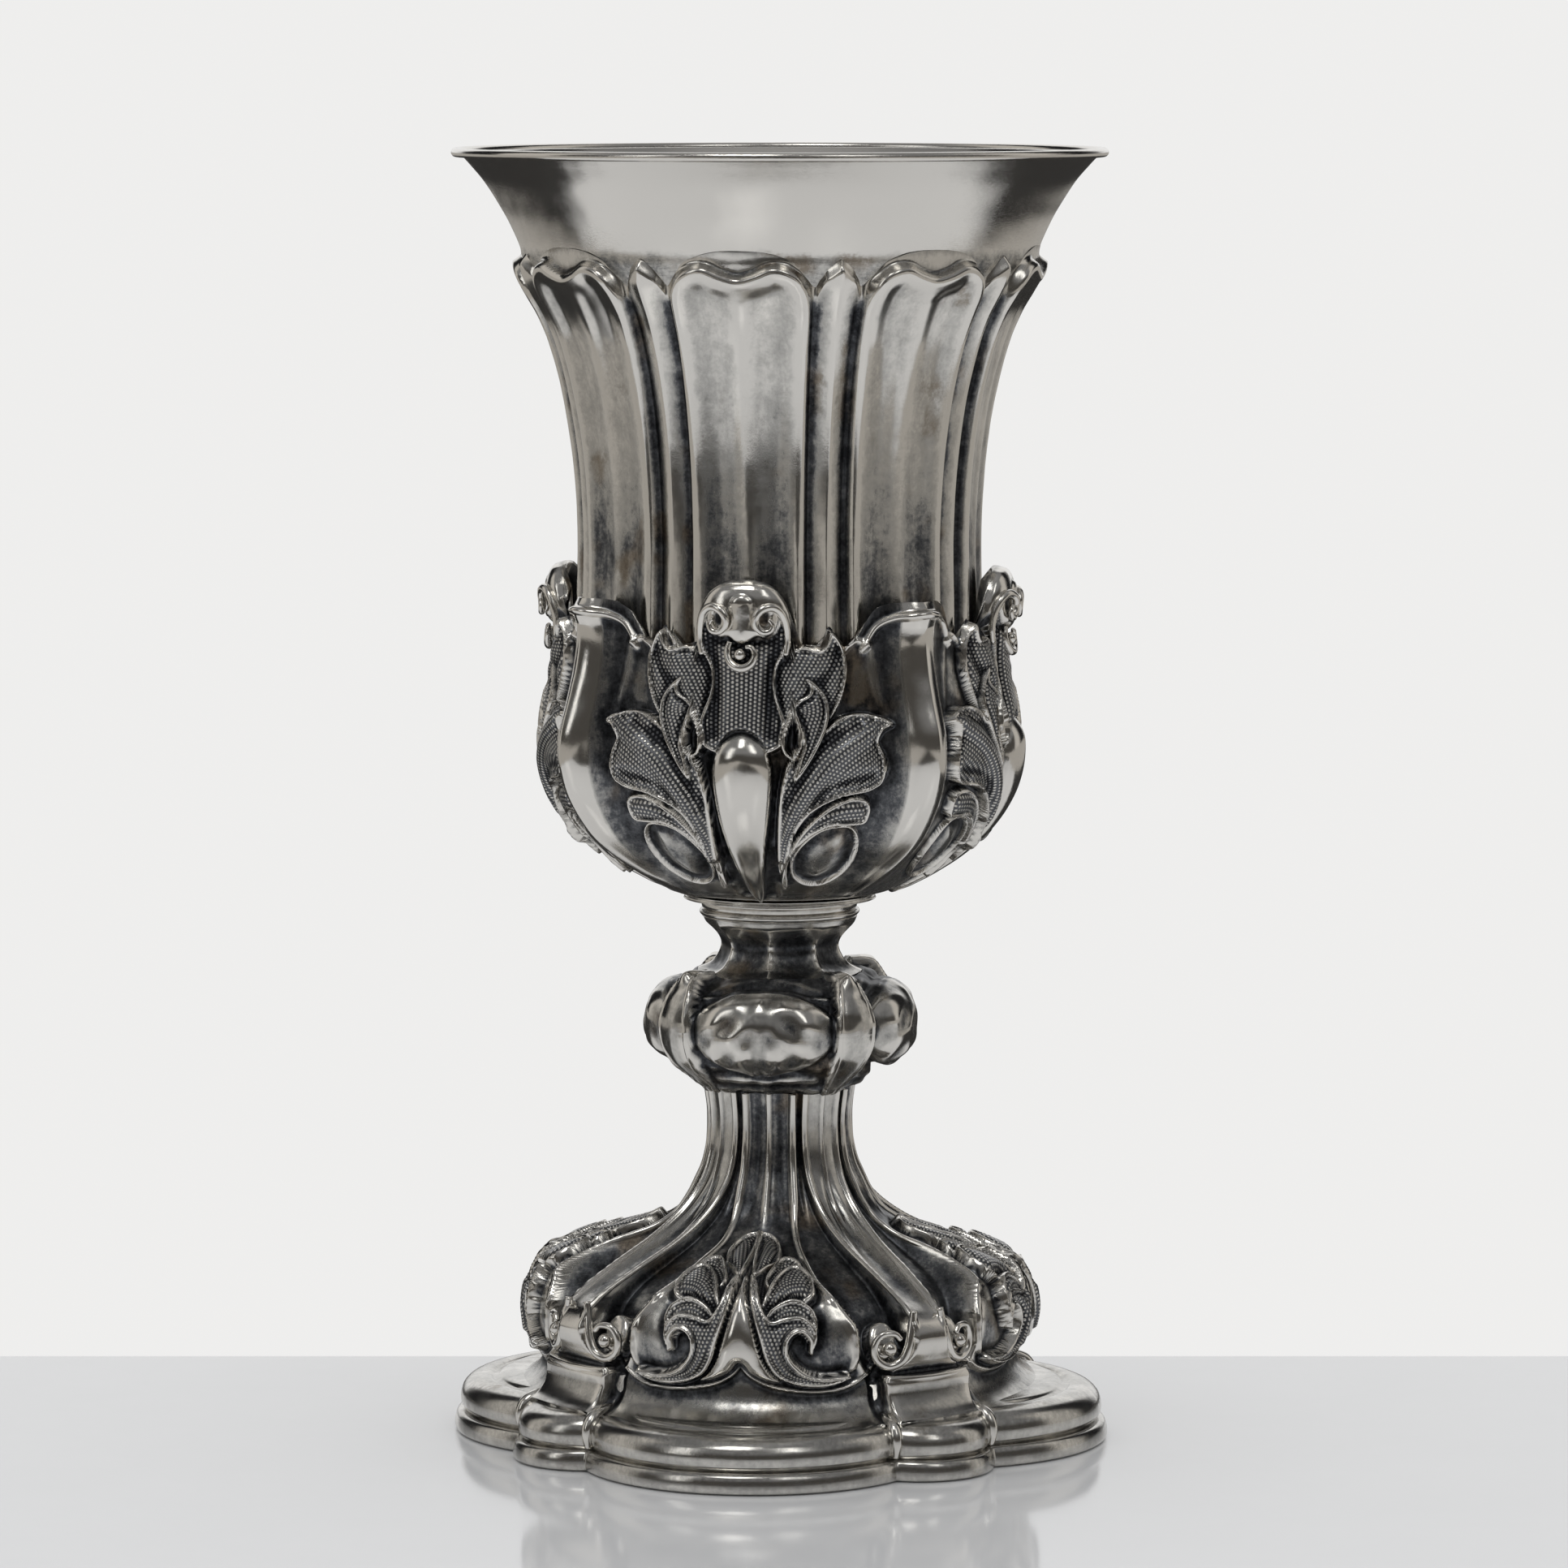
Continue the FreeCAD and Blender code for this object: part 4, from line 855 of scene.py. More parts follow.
def scroll_paths(relief):
    """The leaf top's pair of volutes and the single curl below them."""
    volute = [(10.6, 149.6), (11.1, 152.0), (10.8, 154.8), (9.6, 157.4), (7.4, 158.8), (5.0, 158.5),
              (3.6, 157.1), (3.8, 155.4), (5.2, 154.3), (6.9, 154.5), (7.5, 155.7), (6.6, 156.7)]
    curl = [(-3.0, 152.2), (-3.6, 150.6), (-3.2, 148.8), (-1.6, 147.5), (0.5, 147.2), (2.4, 148.1),
            (3.2, 149.8), (2.4, 151.2), (1.0, 151.3)]
    wires = []
    for points, low, high, sides in ((volute, 1.6, 4.4, (1, -1)), (curl, 2.6, 3.6, (1,))):
        line = flowing(points, per=6)
        share = np.linspace(0, 1, len(line))
        size = 0.8 + 0.45 * np.sin(np.pi * np.minimum(share * 1.2, 1)) - 0.25 * smooth(0.8, 1, share)
        for side in sides:
            place = line * (side, 1)
            wires.append((on_leaf(relief, place, low + (high - low) * smooth(0.1, 0.55, share)), size))
    return wires


def bead(centre, way, radius, wire):
    """A round bead as a short wire that swells and closes; wire is the wire's own radius."""
    polar = np.linspace(0.08, np.pi - 0.08, 9)
    path = np.asarray(centre) - np.outer(np.cos(polar) * radius, way)
    return path, np.sin(polar) * radius / wire


SCROLL_WIRE = 0.66
tip = leaf.spots([(-0.4, 149.9)])[0] + (3.4, 0, 0)
curls = scroll_paths(leaf) + [bead(tip, (0, 0, 1), 1.1, SCROLL_WIRE)]
for quarter in range(LEAVES):
    wires = [(upright(path, math.radians(quarter * QUARTER)), size) for path, size in curls]
    piece = wire_piece(f"calyx_scrolls_{quarter + 1}", wires, SCROLL_WIRE, CHASED)
    settle(piece, "bowl", "calyx_scrolls")


# ------------------------------------------------------------------ bowl: fluted sleeve

SLEEVE_LOW = foot_of("fluted_sleeve")
FLUTE_HALF = 22.5
FLUTE_FLOOR = -1.7
SLEEVE_CREST = [(SLEEVE_LOW, 14.0), (105, 20.5), (108.5, 26.0), (114, 31.0), (122, 34.8), (134, 36.6),
                (150, 37.6), (171, 37.5), (177, 37.8), (183, 38.3), (189, 39.1), (195, 40.2), (201, 41.7),
                (207, 43.7), (210.4, 45.3), (213.4, 47.1), (216.5, 48.7), (219.5, 49.5), (223, 49.9)]
CUP_LINE = [(150, 33.0), (160, 33.0), (208, 41.4), (219.5, 47.3), (222, 48.0), (226, 49.7)]
FLUTE_TOP = [(0, 217.1), (3.6, 217.9), (7.2, 219.2), (10.4, 218.9), (13.2, 217.3), (15.0, 214.6)]
FLUTE = FLUTE_TOP + [(15.8, 211), (15.9, 206), (15.8, 190), (15.7, 160), (15.6, 120), (15.6, 90)]
FLUTE_EDGE = FLUTE_TOP + [(16.6, 212.4), (17.6, 212.8), (18.6, 215.4), (20.4, 217.2), (FLUTE_HALF, 218.9)]
SHOULDER = [(0, 222.4), (5, 222.2), (9, 221.4), (12.5, 219.9), (15, 217.6), (16.6, 215.4), (17.6, 215.2),
            (18.8, 217.8), (20.6, 219.6), (22.5, 220.8)]


def sleeve_relief(step):
    """One wide flute with half of the narrow one beside it."""
    angles = np.linspace(0, FLUTE_HALF, int(math.radians(FLUTE_HALF) * 40 / step))
    low = even_heights(SLEEVE_CREST, 3 * step, SLEEVE_LOW, 205)
    high = np.arange(205 + step, 222.4, step * 1.05)
    rows = np.concatenate([low, high])
    top = eased(SHOULDER, angles)
    bend = smooth(185, 222.4, rows)
    height = rows[:, None] + (top - 222.4) * bend[:, None]
    radius = eased(SLEEVE_CREST, height)
    r = Relief(angles, radius, height)
    d = r.depth(flowing(both_sides(FLUTE), True), 12.0)
    dish = -1.25 * smooth(1.3, 5.6, d) + 0.42 * hill(r.angle, 4.2) * smooth(2.2, 5, d)
    r.rise = dish + 0.18 * hill(d - 0.95, 1.1) + FLUTE_FLOOR * smooth(0.25, -0.95, d)
    narrow = FLUTE_HALF - r.angle
    ridge = 1.5 * np.clip(1 - narrow / 4.6, 0, 1) ** 0.85
    r.rise = np.where(r.angle > 17.2, FLUTE_FLOOR + ridge, r.rise)
    edge = eased(FLUTE_EDGE, r.angle)
    share = np.clip((r.height - edge) / np.maximum(eased(SHOULDER, r.angle) - edge, 0.5), 0, 1)
    onto_cup = np.interp(r.height, *zip(*CUP_LINE)) + 0.12 - r.radius
    r.rise = r.rise * (1 - share**1.2) + np.minimum(onto_cup, r.rise) * share**1.2
    bright = hill(d - 0.9, 1.3)
    inner = 0.66 + 0.1 * hill(r.angle, 5) - 0.12 * hill(d - 3.0, 1.8) - 0.42 * smooth(198, 156, r.height)
    r.shine = np.where(d > 0, np.maximum(inner, bright), 0.3)
    flank = 0.46 + 0.1 * smooth(4, 1, narrow) + 0.5 * hill(narrow, 0.85)
    r.shine = np.where(r.angle > 17.4, flank, r.shine)
    # painted highlight along the shoulder where the sleeve turns in to the cup, dimmer towards its top
    lip = smooth(0.0, 0.35, share)
    r.shine = r.shine * (1 - lip) + (0.85 - 0.45 * smooth(0.6, 1.0, share)) * lip
    return r


sleeve = sleeve_relief(GRID * 1.35).finish(0.05, 31, 0.7)
ring("fluted_sleeve", "bowl", sleeve, 0.6, 8)


# ------------------------------------------------------------------ bowl: cup, lip wire, seat disc

LIP = [(47.2, 219.0), (48.0, 222), (50.0, 226.5), (52.0, 230.0), (54.6, 234.0), (57.2, 237.0), (59.0, 238.9)]


def cup_outline():
    """Outside of the cup up to the lip, then its lining back down to the axis."""
    low = foot_of("cup")
    outside = flowing([(0, low), (5, low), (9, low), (17, low + 3.2), (25, low + 10), (31, low + 21),
                       (33, low + 32), (33, 150), (33.2, 165), (34.6, 180), (37.4, 195), (41.4, 208),
                       (44.4, 214)] + LIP, per=9)
    inside = [(r - 0.45 - 1.3 * float(smooth(229, 223, z)), z + 0.35) for r, z in outside]
    lining = [(max(r, 0), z) for r, z in inside[::-1]]
    lining[-1] = (0, low + 0.6)
    outside[0] = (0, low)
    return np.vstack([outside, lining])


cup_line = cup_outline()
is_outside = np.arange(len(cup_line)) < len(cup_line) // 2
cup_shine = 0.80 - 0.50 * smooth(223.6, 220.2, cup_line[:, 1]) * is_outside
turned_piece("cup", "bowl", cup_line, POLISHED, 0.7, cup_shine, 0.07, 41, closed=False)

RIM_WIRE = 0.85
rim_middle = (top_of("rim_wire") + foot_of("rim_wire")) / 2
turn = np.linspace(0, 2 * np.pi, 24, endpoint=False)
rim_section = np.stack([np.cos(turn) - 1, np.sin(turn)], -1) * RIM_WIRE + (reach_of("rim_wire"), rim_middle)
turned_piece("rim_wire", "bowl", rim_section, POLISHED, 0.6, 0.95, 0.05, 43)

disc_low, disc_top, disc_edge = foot_of("seat_disc"), top_of("seat_disc"), reach_of("seat_disc")
disc_section = [(8.2, disc_low), (12, disc_low), (disc_edge - 0.4, disc_low), (disc_edge, disc_low + 0.3),
                (disc_edge - 0.1, disc_top - 0.2), (disc_edge - 0.6, disc_top), (12, disc_top),
                (8.2, disc_top)]
disc_section = flowing(disc_section, True, 4)[:-1]
turned_piece("seat_disc", "bowl", disc_section, CHASED, 0.7, 0.55, 0.05, 45)


# ------------------------------------------------------------------ knop, neck and collar

COLLAR_LOW, COLLAR_TOP, COLLAR_EDGE = foot_of("neck_collar"), top_of("neck_collar"), reach_of("neck_collar")
# how far in from the collar's edge, and how high: from its foot up to the step, then to its top
collar_lower = [(1.4, 0), (0.5, 0.15), (0, 0.7), (0.1, 1.2), (0.8, 1.5), (0.8, 1.5), (0.45, 1.8)]
collar_section = [(4.5, COLLAR_LOW)] + [(COLLAR_EDGE - inset, COLLAR_LOW + up) for inset, up in collar_lower]
collar_section += [(COLLAR_EDGE - 0.4, COLLAR_TOP - 0.4), (COLLAR_EDGE - 0.7, COLLAR_TOP), (4.5, COLLAR_TOP)]
collar_section = flowing(collar_section, True, 5)[:-1]
turned_piece("neck_collar", "knop", collar_section, CHASED, 0.6, 0.6, 0.16, 51)

NECK_LOW, NECK_TOP = foot_of("stem_neck"), top_of("stem_neck")
NECK = [(NECK_LOW, 15.4), (88.3, 13.4), (89.4, 12.2), (90.6, 11.5), (92.4, 11.1), (93.6, 11.6), (95, 12.8),
        (96.2, 13.9), (NECK_TOP, 14.4)]


def neck_relief(step):
    """Eight-sided spool, each side a little hollow between sharp edges."""
    angles = np.linspace(0, HALF, int(math.radians(HALF) * 14 / step))
    heights = even_heights(NECK, step, NECK_LOW, NECK_TOP)
    radius = np.repeat(eased(NECK, heights)[:, None], len(angles), 1)
    r = Relief(angles, radius, heights[:, None])
    away = np.minimum(r.angle, HALF - r.angle)
    facet = 1 - np.clip(1 - away / 22.5, 0, 1) ** 2
    depth = eased([(NECK_LOW, 0.5), (90, 1.1), (93, 0.8), (95.5, 0.25), (NECK_TOP, 0.0)], r.height)
    r.rise = -depth * facet
    r.shine = 0.45 + 0.5 * hill(away, 3) * smooth(96, 93, r.height)
    return r


neck = neck_relief(GRID).finish(0.12, 53)
ring("stem_neck", "knop", neck, 0.6, LEAVES)

KNOP_LOW, KNOP_TOP = foot_of("knop_lower"), top_of("knop_upper")
KNOP_SEAM = top_of("knop_lower") + 0.05
KNOP_CORE = [(KNOP_LOW, 14.3), (66.8, 15.4), (68.2, 17.0), (69.8, 18.4), (72, 20.2), (75, 21.8), (78, 22.3),
             (81, 22.0), (83.6, 20.8), (85.4, 19.2), (86.6, 17.6), (KNOP_TOP, 15.6)]


def knop_relief(step):
    """The knop: oval cushions to the leaves, pinched bands on the diagonals between."""
    angles = np.linspace(0, HALF, int(math.radians(HALF) * 24 / step))
    heights = even_heights(KNOP_CORE, step, KNOP_LOW, KNOP_TOP)
    heights[np.argmin(np.abs(heights - KNOP_SEAM))] = KNOP_SEAM
    radius = np.repeat(eased(KNOP_CORE, heights)[:, None], len(angles), 1)
    r = Relief(angles, radius, heights[:, None])
    away = HALF - r.angle
    # cushion, dented by use
    across, up = r.angle / 38.0, (r.height - 77.9) / 7.7
    e = np.hypot(across, up)
    full = np.clip(1 - e**2.4, 0, 1) ** 0.6
    dents = unevenness(r.base, 6.0, 64) * smooth(0, 7, r.angle)
    r.rise = (3.1 + 0.4 * dents) * full - 0.7 * hill(e - 1.08, 0.2)
    r.shine = 0.38 + 0.26 * full + 0.14 * dents - 0.35 * hill(e - 1.08, 0.25)
    # bands on the diagonals, with a thin bright edge each side
    half = eased([(KNOP_LOW, 5), (69, 7.5), (74, 9.4), (79, 9.8), (83, 8.2), (86, 5.5), (KNOP_TOP, 5)],
                 r.height)
    rise = eased([(KNOP_LOW, 0.2), (68, 0.9), (73, 2.0), (78, 2.4), (83, 2.2), (86, 2.0), (KNOP_TOP, 0.6)],
                 r.height)
    cover = smooth(half + 1.2, half - 0.2, away)
    band = rise + 0.35 * hill(away - half + 0.9, 1.2) + 0.5 * np.clip(1 - (away / half) ** 2, 0, 1)
    r.lay(cover, band, 0.60 + 0.4 * hill(away - half + 0.9, 1.1))
    # peaks where the bands meet the shoulder, and a scalloped shoulder line
    r.rise += 1.0 * hill(away, 7) * hill(r.height - 85.6, 1.6)
    line = 84.6 + 1.2 * np.cos(np.radians(r.angle * 4))
    r.rise += 0.7 * hill(r.height - line, 0.8) * smooth(6, 12, away)
    r.shine += 0.3 * hill(r.height - line, 0.8)
    # skirt over the stem
    r.rise += 0.4 * hill(r.height - KNOP_LOW - 0.8, 1.0)
    r.rise -= 0.7 * hill(r.height - 69.4, 1.4) * smooth(10, 16, away)
    beaten = 0.26 * unevenness(r.base, 7, 61) + 0.16 * unevenness(r.base, 3.4, 62)
    r.rise += beaten * (1 - 0.75 * cover) * smooth(0, 5, r.angle)
    r.shine -= 0.32
    return r


def part_of(relief, rows):
    """The same finished relief with only some of its rows."""
    part = copy.copy(relief)
    for name, value in vars(relief).items():
        if np.ndim(value) > 1:
            setattr(part, name, value[rows])
    return part


knop = knop_relief(GRID).finish(0.22, 63)
seam_row = int(np.argmin(np.abs(knop.height[:, 0] - KNOP_SEAM)))
for name, rows in (("knop_lower", slice(0, seam_row + 1)), ("knop_upper", slice(seam_row, None))):
    ring(name, "knop", part_of(knop, rows), 0.7, LEAVES)


# ------------------------------------------------------------------ foot dome and brackets

# the drum's foot lies this far below the CAD dome's
DRUM_DROP = 3.9
DOME_LOW, STEM_TOP = foot_of("foot_dome") - DRUM_DROP, top_of("foot_dome")
PANEL = [(DOME_LOW, 50.6), (11.3, 48.8), (12.4, 47.0), (14, 45.6), (16, 45.0), (18, 44.8), (21, 45.2),
         (24, 45.6), (27, 45.3), (30, 44.2), (32.5, 42.2), (34.3, 38.6), (36.0, 34.4), (37.3, 29.8),
         (38.7, 25.0), (41, 20.6), (44.6, 17.2), (48, 15.4), (51, 14.0), (54, 13.2), (57, 12.8), (61, 12.7),
         (STEM_TOP, 13.2)]
VALLEY = [(DOME_LOW, 50.2), (11.3, 48.2), (12.4, 46.2), (14, 44.8), (16, 44.0), (19, 43.0), (24, 40.5),
          (29, 37.6), (32, 34.0), (35, 28.6), (38, 23.4), (41, 19.6), (45, 16.0), (50, 13.4), (56, 12.1),
          (62, 12.1), (STEM_TOP, 12.6)]
BRACKET = [(DOME_LOW, 51.0), (11.3, 49.9), (12.6, 48.6), (14.6, 47.6), (17.4, 47.2), (18.9, 46.0),
           (20.4, 46.6), (22.5, 47.6), (25, 47.8), (27.4, 46.6), (30.3, 43.4), (34.4, 35.6), (38.8, 26.4),
           (43.6, 19.4), (48.4, 15.4), (53, 13.6), (58, 13.0), (62, 13.1), (STEM_TOP, 13.6)]
PANEL_EDGE = [(DOME_LOW, 30), (18, 30), (20, 28.6), (22, 27.4), (24, 27.2), (27, 26.8), (30, 24.6),
              (32.3, 22.2), (35, 19.6), (38, 17.8), (42, 17.2), (50, 17.6), (STEM_TOP, 18.5)]
FLANK = [(DOME_LOW, 34.6), (13, 34.0), (16, 33.5), (17.8, 33.6), (18.8, 35.2), (20.0, 37.8), (21.4, 39.6),
         (23, 40.4), (26, 40.8), (30, 40.4), (34.8, 38.8), (39.6, 36.0), (45, 32.8), (50, 30.6), (56, 29.6),
         (STEM_TOP, 29.5)]


def dome_relief(step):
    """Leaf panel, valley and bracket of the foot, and the fluted stem above them."""
    angles = np.linspace(0, HALF, int(math.radians(HALF) * 43 / step))
    heights = even_heights(PANEL, step, DOME_LOW, STEM_TOP)
    angle, height = np.meshgrid(angles, heights)
    panel, valley, bracket = (eased(line, height) for line in (PANEL, VALLEY, BRACKET))
    edge, flank = eased(PANEL_EDGE, height), eased(FLANK, height)
    fall = 2.0 + 1.5 * smooth(36, 44, height)
    on_panel = smooth(edge + fall, edge - 0.4, angle)
    on_bracket = smooth(flank - fall, flank + 0.5, angle)
    radius = valley + (panel - valley) * on_panel + (bracket - valley) * on_bracket
    r = Relief(angles, radius, height)
    r.panel, r.bracket = on_panel, on_bracket
    return r


def foot_leaf(step):
    """The foot's chased leaf between its cartouche lines, and the scrolled bracket beside it."""
    r = dome_relief(step)
    r.shine = 0.10 + 0.08 * r.panel + 0.46 * r.bracket
    stem = smooth(42, 50, r.height)
    r.shine = r.shine * (1 - stem) + (0.24 + 0.26 * r.bracket) * stem
    # drum below the cartouche, and the line that bounds it
    foot_line = [(0, 20.2), (0, 20.2), (2.0, 18.5), (6.0, 16.9), (11.3, 16.0), (17, 15.6), (23.2, 15.9),
                 (27.4, 17.0), (30.4, 18.4), (33, 20)]
    reach = [(34, 18.2), (60, 18.2), (60, 8)]
    drum = r.depth(flowing(both_sides(foot_line[:-1] + reach), True), 4.0)
    on_drum = smooth(-0.15, 0.25, drum)
    r.rise -= 0.9 * on_drum * (1 - r.bracket)
    r.shine = r.shine * (1 - on_drum) + 0.52 * on_drum
    r.ridge(foot_line, 0.45, 0.75, 1.0)
    # flutes of the stem
    high = smooth(40, 46, r.height)
    r.rise += high * (0.55 * hill(r.angle, 3.6) - 0.5 * hill(r.angle - 9.5, 7))
    r.shine += high * (0.45 * hill(r.angle, 3.2) - 0.1 * hill(r.angle - 9.5, 6))
    for middle, size in ((18.2, 0.55), (45.0, 0.6)):
        r.rise += high * size * hill(r.angle - middle, 2.6)
        r.shine += high * 0.5 * hill(r.angle - middle, 2.2)
    r.rise -= high * 0.5 * hill(r.angle - 24, 4)
    # cartouche line: up the panel's edge to the stem
    line = [(24.6, 18.3), (26.5, 20.4), (27.2, 23.6), (26.6, 27.3), (24.5, 30.1), (21.9, 32.3), (19.2, 35),
            (17.6, 38), (17.2, 42), (17.6, 48), (18.2, 54), (18.4, STEM_TOP)]
    r.ridge(line, 0.6, 0.9, 0.95)
    flank = [(40.6, 24.8), (41.0, 28.1), (40.0, 32.5), (38.4, 36.2), (35.9, 40.4), (33.0, 45.4),
             (30.8, 50.2), (29.8, 56), (29.6, STEM_TOP)]
    r.ridge(flank, 0.7, 0.9, 0.95)
    # the bracket's strap is hollowed along its middle
    strap = r.bracket * smooth(27, 32, r.height) * smooth(52, 44, r.height)
    r.rise -= 0.9 * hill(HALF - r.angle, 6.5) * strap
    r.shine -= 0.2 * hill(HALF - r.angle, 5.5) * strap
    # disc that the bracket's volute lies on
    r.boss([(31.0, 23.0), (31.9, 20.7), (34.2, 19.7), (37, 20.2), (38.8, 22), (38.9, 24.4), (37.2, 26.2),
            (34.4, 26.4), (32, 25.4)], 1.2, 1.5, 1.6, 0.16, 0.5)
    # seam above the post
    seam = hill(r.height - 18.6, 0.55) * r.bracket
    r.rise -= 0.7 * seam
    r.shine -= 0.5 * seam
    r.ridge([(33.4, 18.0), (37, 17.7), (45, 17.5), (50, 17.6)], 0.4, 0.6, 0.95)
    # leaf: the blade beside the rib, its side lobes, and the long crescent over them
    r.lobe([(-0.4, 38.6), (3, 38.8), (6.6, 37.4), (8.2, 35.4), (8.4, 33), (7.8, 30), (6, 27), (2, 30),
            (-0.4, 34)], 0.7, 0.9, 0.3, 0.1, spine=[(2.6, 27), (2.2, 31), (1.6, 34), (0.6, 40)], swell=1.6,
           pitch=0.74)
    r.lobe([(-0.4, 40.1), (2.6, 40.3), (6.4, 39.9), (9.4, 38.9), (10.2, 37.8), (9.0, 36.7), (6, 36.0),
            (1.4, 35.0)], 0.9, 1.1, 0.4, 0.5, sink=1.0, spine=[(0, 33), (1.2, 36.5), (3.5, 38.6), (9, 39.4)],
           swell=1.6, pitch=0.74)
    r.lobe([(5.0, 34.2), (7.0, 36.0), (9.6, 36.8), (12.8, 36.9), (15.6, 36.4), (16.0, 35.6), (13, 34.6),
            (8, 33)], 1.0, 1.0, 0.4, 0.5, sink=1.0, spine=[(3, 32), (7, 35.2), (11, 35.9), (16.4, 36.1)],
           swell=1.4, pitch=0.74)
    r.lobe([(4.8, 31.0), (6.2, 33.0), (8.2, 34.6), (11.0, 35.6), (14.5, 35.8), (17.1, 35.1), (18.2, 33.8),
            (17.7, 32.4), (15.6, 31.4), (11.6, 30.8), (8.0, 29.8), (5.2, 29)], 1.3, 1.2, 0.42, 0.5, sink=1.1,
           spine=[(4, 28.6), (6.6, 31.8), (10.6, 33.4), (18.6, 33.8)], swell=1.8, pitch=0.78)
    r.lobe([(4.8, 27.6), (6.2, 29.6), (8.4, 31.0), (11.4, 31.7), (14.4, 31.5), (16.8, 30.3), (17.8, 28.4),
            (17.4, 26.4), (14.6, 27.0), (10.6, 27.2), (6.6, 25.6)], 1.7, 1.2, 0.42, 0.5, sink=1.1,
           spine=[(4.4, 25), (6.6, 28.2), (10.4, 29.9), (14.4, 29.5), (18.4, 26.8)], swell=1.8, pitch=0.78)
    crescent = [(1.2, 34.4), (2.2, 31.6), (3.2, 28.6), (4.6, 25.4), (6.0, 21.9), (8.2, 19.2), (11.8, 17.4),
                (16.2, 16.6), (21, 16.8), (25.6, 18.4), (23.2, 19.0), (18.9, 18.7), (15.2, 19.6),
                (12.2, 21.6), (10.9, 24.0), (11.6, 25.8), (13.9, 26.6), (15.9, 25.4), (16.3, 23.4),
                (17.6, 25.6), (16.8, 27.8), (14.0, 29.2), (10.2, 29.0), (7.2, 28.6), (5.2, 30.4),
                (3.4, 33.8)]
    vein = [(1.6, 35), (4.4, 29), (7.2, 24), (9.8, 20.2), (13.8, 18.0), (19, 17.5), (26, 18.4)]
    r.lobe(crescent, 1.9, 1.3, 0.36, spine=vein, swell=2.2, spread=(0.9, 0.8))
    # painted highlights along the crescent's crest and along the leaf's middle line at its top
    r.ridge([(2.6, 32.4), (5.2, 28), (7.4, 23.6), (10.2, 20)], 0.6, 1.6, 1.0)
    r.ridge([(-1, 40.4), (0, 40.2), (0, 37), (0.2, 34.4)], 0.35, 0.55, 1.0)
    r.wire([(16.2, 23.4), (15.9, 25.6), (13.9, 26.9), (11.4, 26.0), (10.6, 24.0), (12.0, 21.5), (15.2, 19.4),
            (18.9, 18.5), (22.6, 18.6), (24.8, 18.8)], 0.4, 1.7)
    # smooth spine between the leaf's halves, spreading into the cusp
    spine = [(0, 35.2), (0.7, 34.2), (1.3, 32.4), (2.3, 30.2), (3.1, 27.6), (4.2, 24.6), (5.6, 21.6),
             (7.6, 19.2), (9.4, 17.7), (6.0, 18.0), (2.4, 19.5)]
    r.boss(both_sides(spine, 21.4), 1.5, 2.2, 0.9, 0.95, 0.2)
    return r


dome = foot_leaf(GRID).finish(0.06, 71)
quarters("foot_dome", "foot", dome, 1.7)

VOLUTE_WIRE = 0.72
VOLUTE_ANGLE, VOLUTE_FACING = 35.3, 27.0
VOLUTE_REACH, VOLUTE_HEIGHT = 44.9, 23.0
VOLUTE = [(4.9, 6.6), (4.3, 3.6), (3.6, 0.2), (2.2, -2.3), (-0.3, -3.2), (-2.5, -1.9), (-3.0, 0.5),
          (-1.7, 2.6), (0.7, 2.8), (1.9, 1.7)]


def volute_wires(middle, side):
    """The coil and bead on one flank of a bracket."""
    at, facing = (math.radians(middle + side * a) for a in (VOLUTE_ANGLE, VOLUTE_FACING))
    centre = upright(np.array((VOLUTE_REACH, 0, VOLUTE_HEIGHT)), at)
    out = upright(np.array((1.0, 0, 0)), facing)
    across = upright(np.array((0, side, 0)), facing)
    line = flowing(VOLUTE, per=7)
    share = np.linspace(0, 1, len(line))
    lift = 0.9 * smooth(0.0, 0.25, share) + 0.6 * smooth(0.6, 1, share)
    path = centre + line[:, :1] * across + line[:, 1:] * (0, 0, 1) + lift[:, None] * out
    size = 0.9 + 0.35 * hill(share - 0.35, 0.5) - 0.2 * smooth(0.8, 1, share)
    return [(path, size), bead(centre + out * 0.9, (0, 0, 1), 1.35, VOLUTE_WIRE)]


for quarter in range(LEAVES):
    wires = volute_wires(quarter * QUARTER, 1) + volute_wires((quarter + 1) * QUARTER, -1)
    piece = wire_piece(f"scroll_volutes_{quarter + 1}", wires, VOLUTE_WIRE, CHASED)
    settle(piece, "foot", "scroll_brackets")


# ------------------------------------------------------------------ plinth and flange

FLANGE_TOP = top_of("base_flange")
LOBE, CORNER, NOTCH, NOTCH_ANGLE = 61.6, 57.5, 53.0, 33.0
DRUM = 46.4


def arc_at(away, half, notch, crown):
    """Radius of the arc that leads from notch to notch over a crown, at degrees off its middle."""
    chord = notch * math.sin(math.radians(half))
    rise = crown - notch * math.cos(math.radians(half))
    bow = (chord**2 + rise**2) / (2 * rise)
    centre = crown - bow
    a = np.radians(away)
    return centre * np.cos(a) + np.sqrt(np.maximum(bow**2 - (centre * np.sin(a)) ** 2, 0))


def lobed_edge(angle):
    """Radius of the eight-lobed outline at an angle."""
    away = np.abs((angle + HALF) % QUARTER - HALF)
    wide = arc_at(away, NOTCH_ANGLE, NOTCH, LOBE)
    narrow = arc_at(np.abs(HALF - away), HALF - NOTCH_ANGLE, NOTCH, CORNER)
    return np.where(away < NOTCH_ANGLE, wide, narrow)


def lobed(inset_from):
    """A reshaping of turned outlines whose radius is the flange's crown less an inset."""

    def radius_at(angle, radius, height):
        inset = LOBE - radius
        lobes = lobed_edge(angle) - np.minimum(inset, inset_from)
        over = np.maximum(inset - inset_from, 0) / (LOBE - DRUM - inset_from)
        return lobes + (DRUM - lobes) * np.minimum(over, 1) - np.maximum(over - 1, 0) * 3.0

    return radius_at


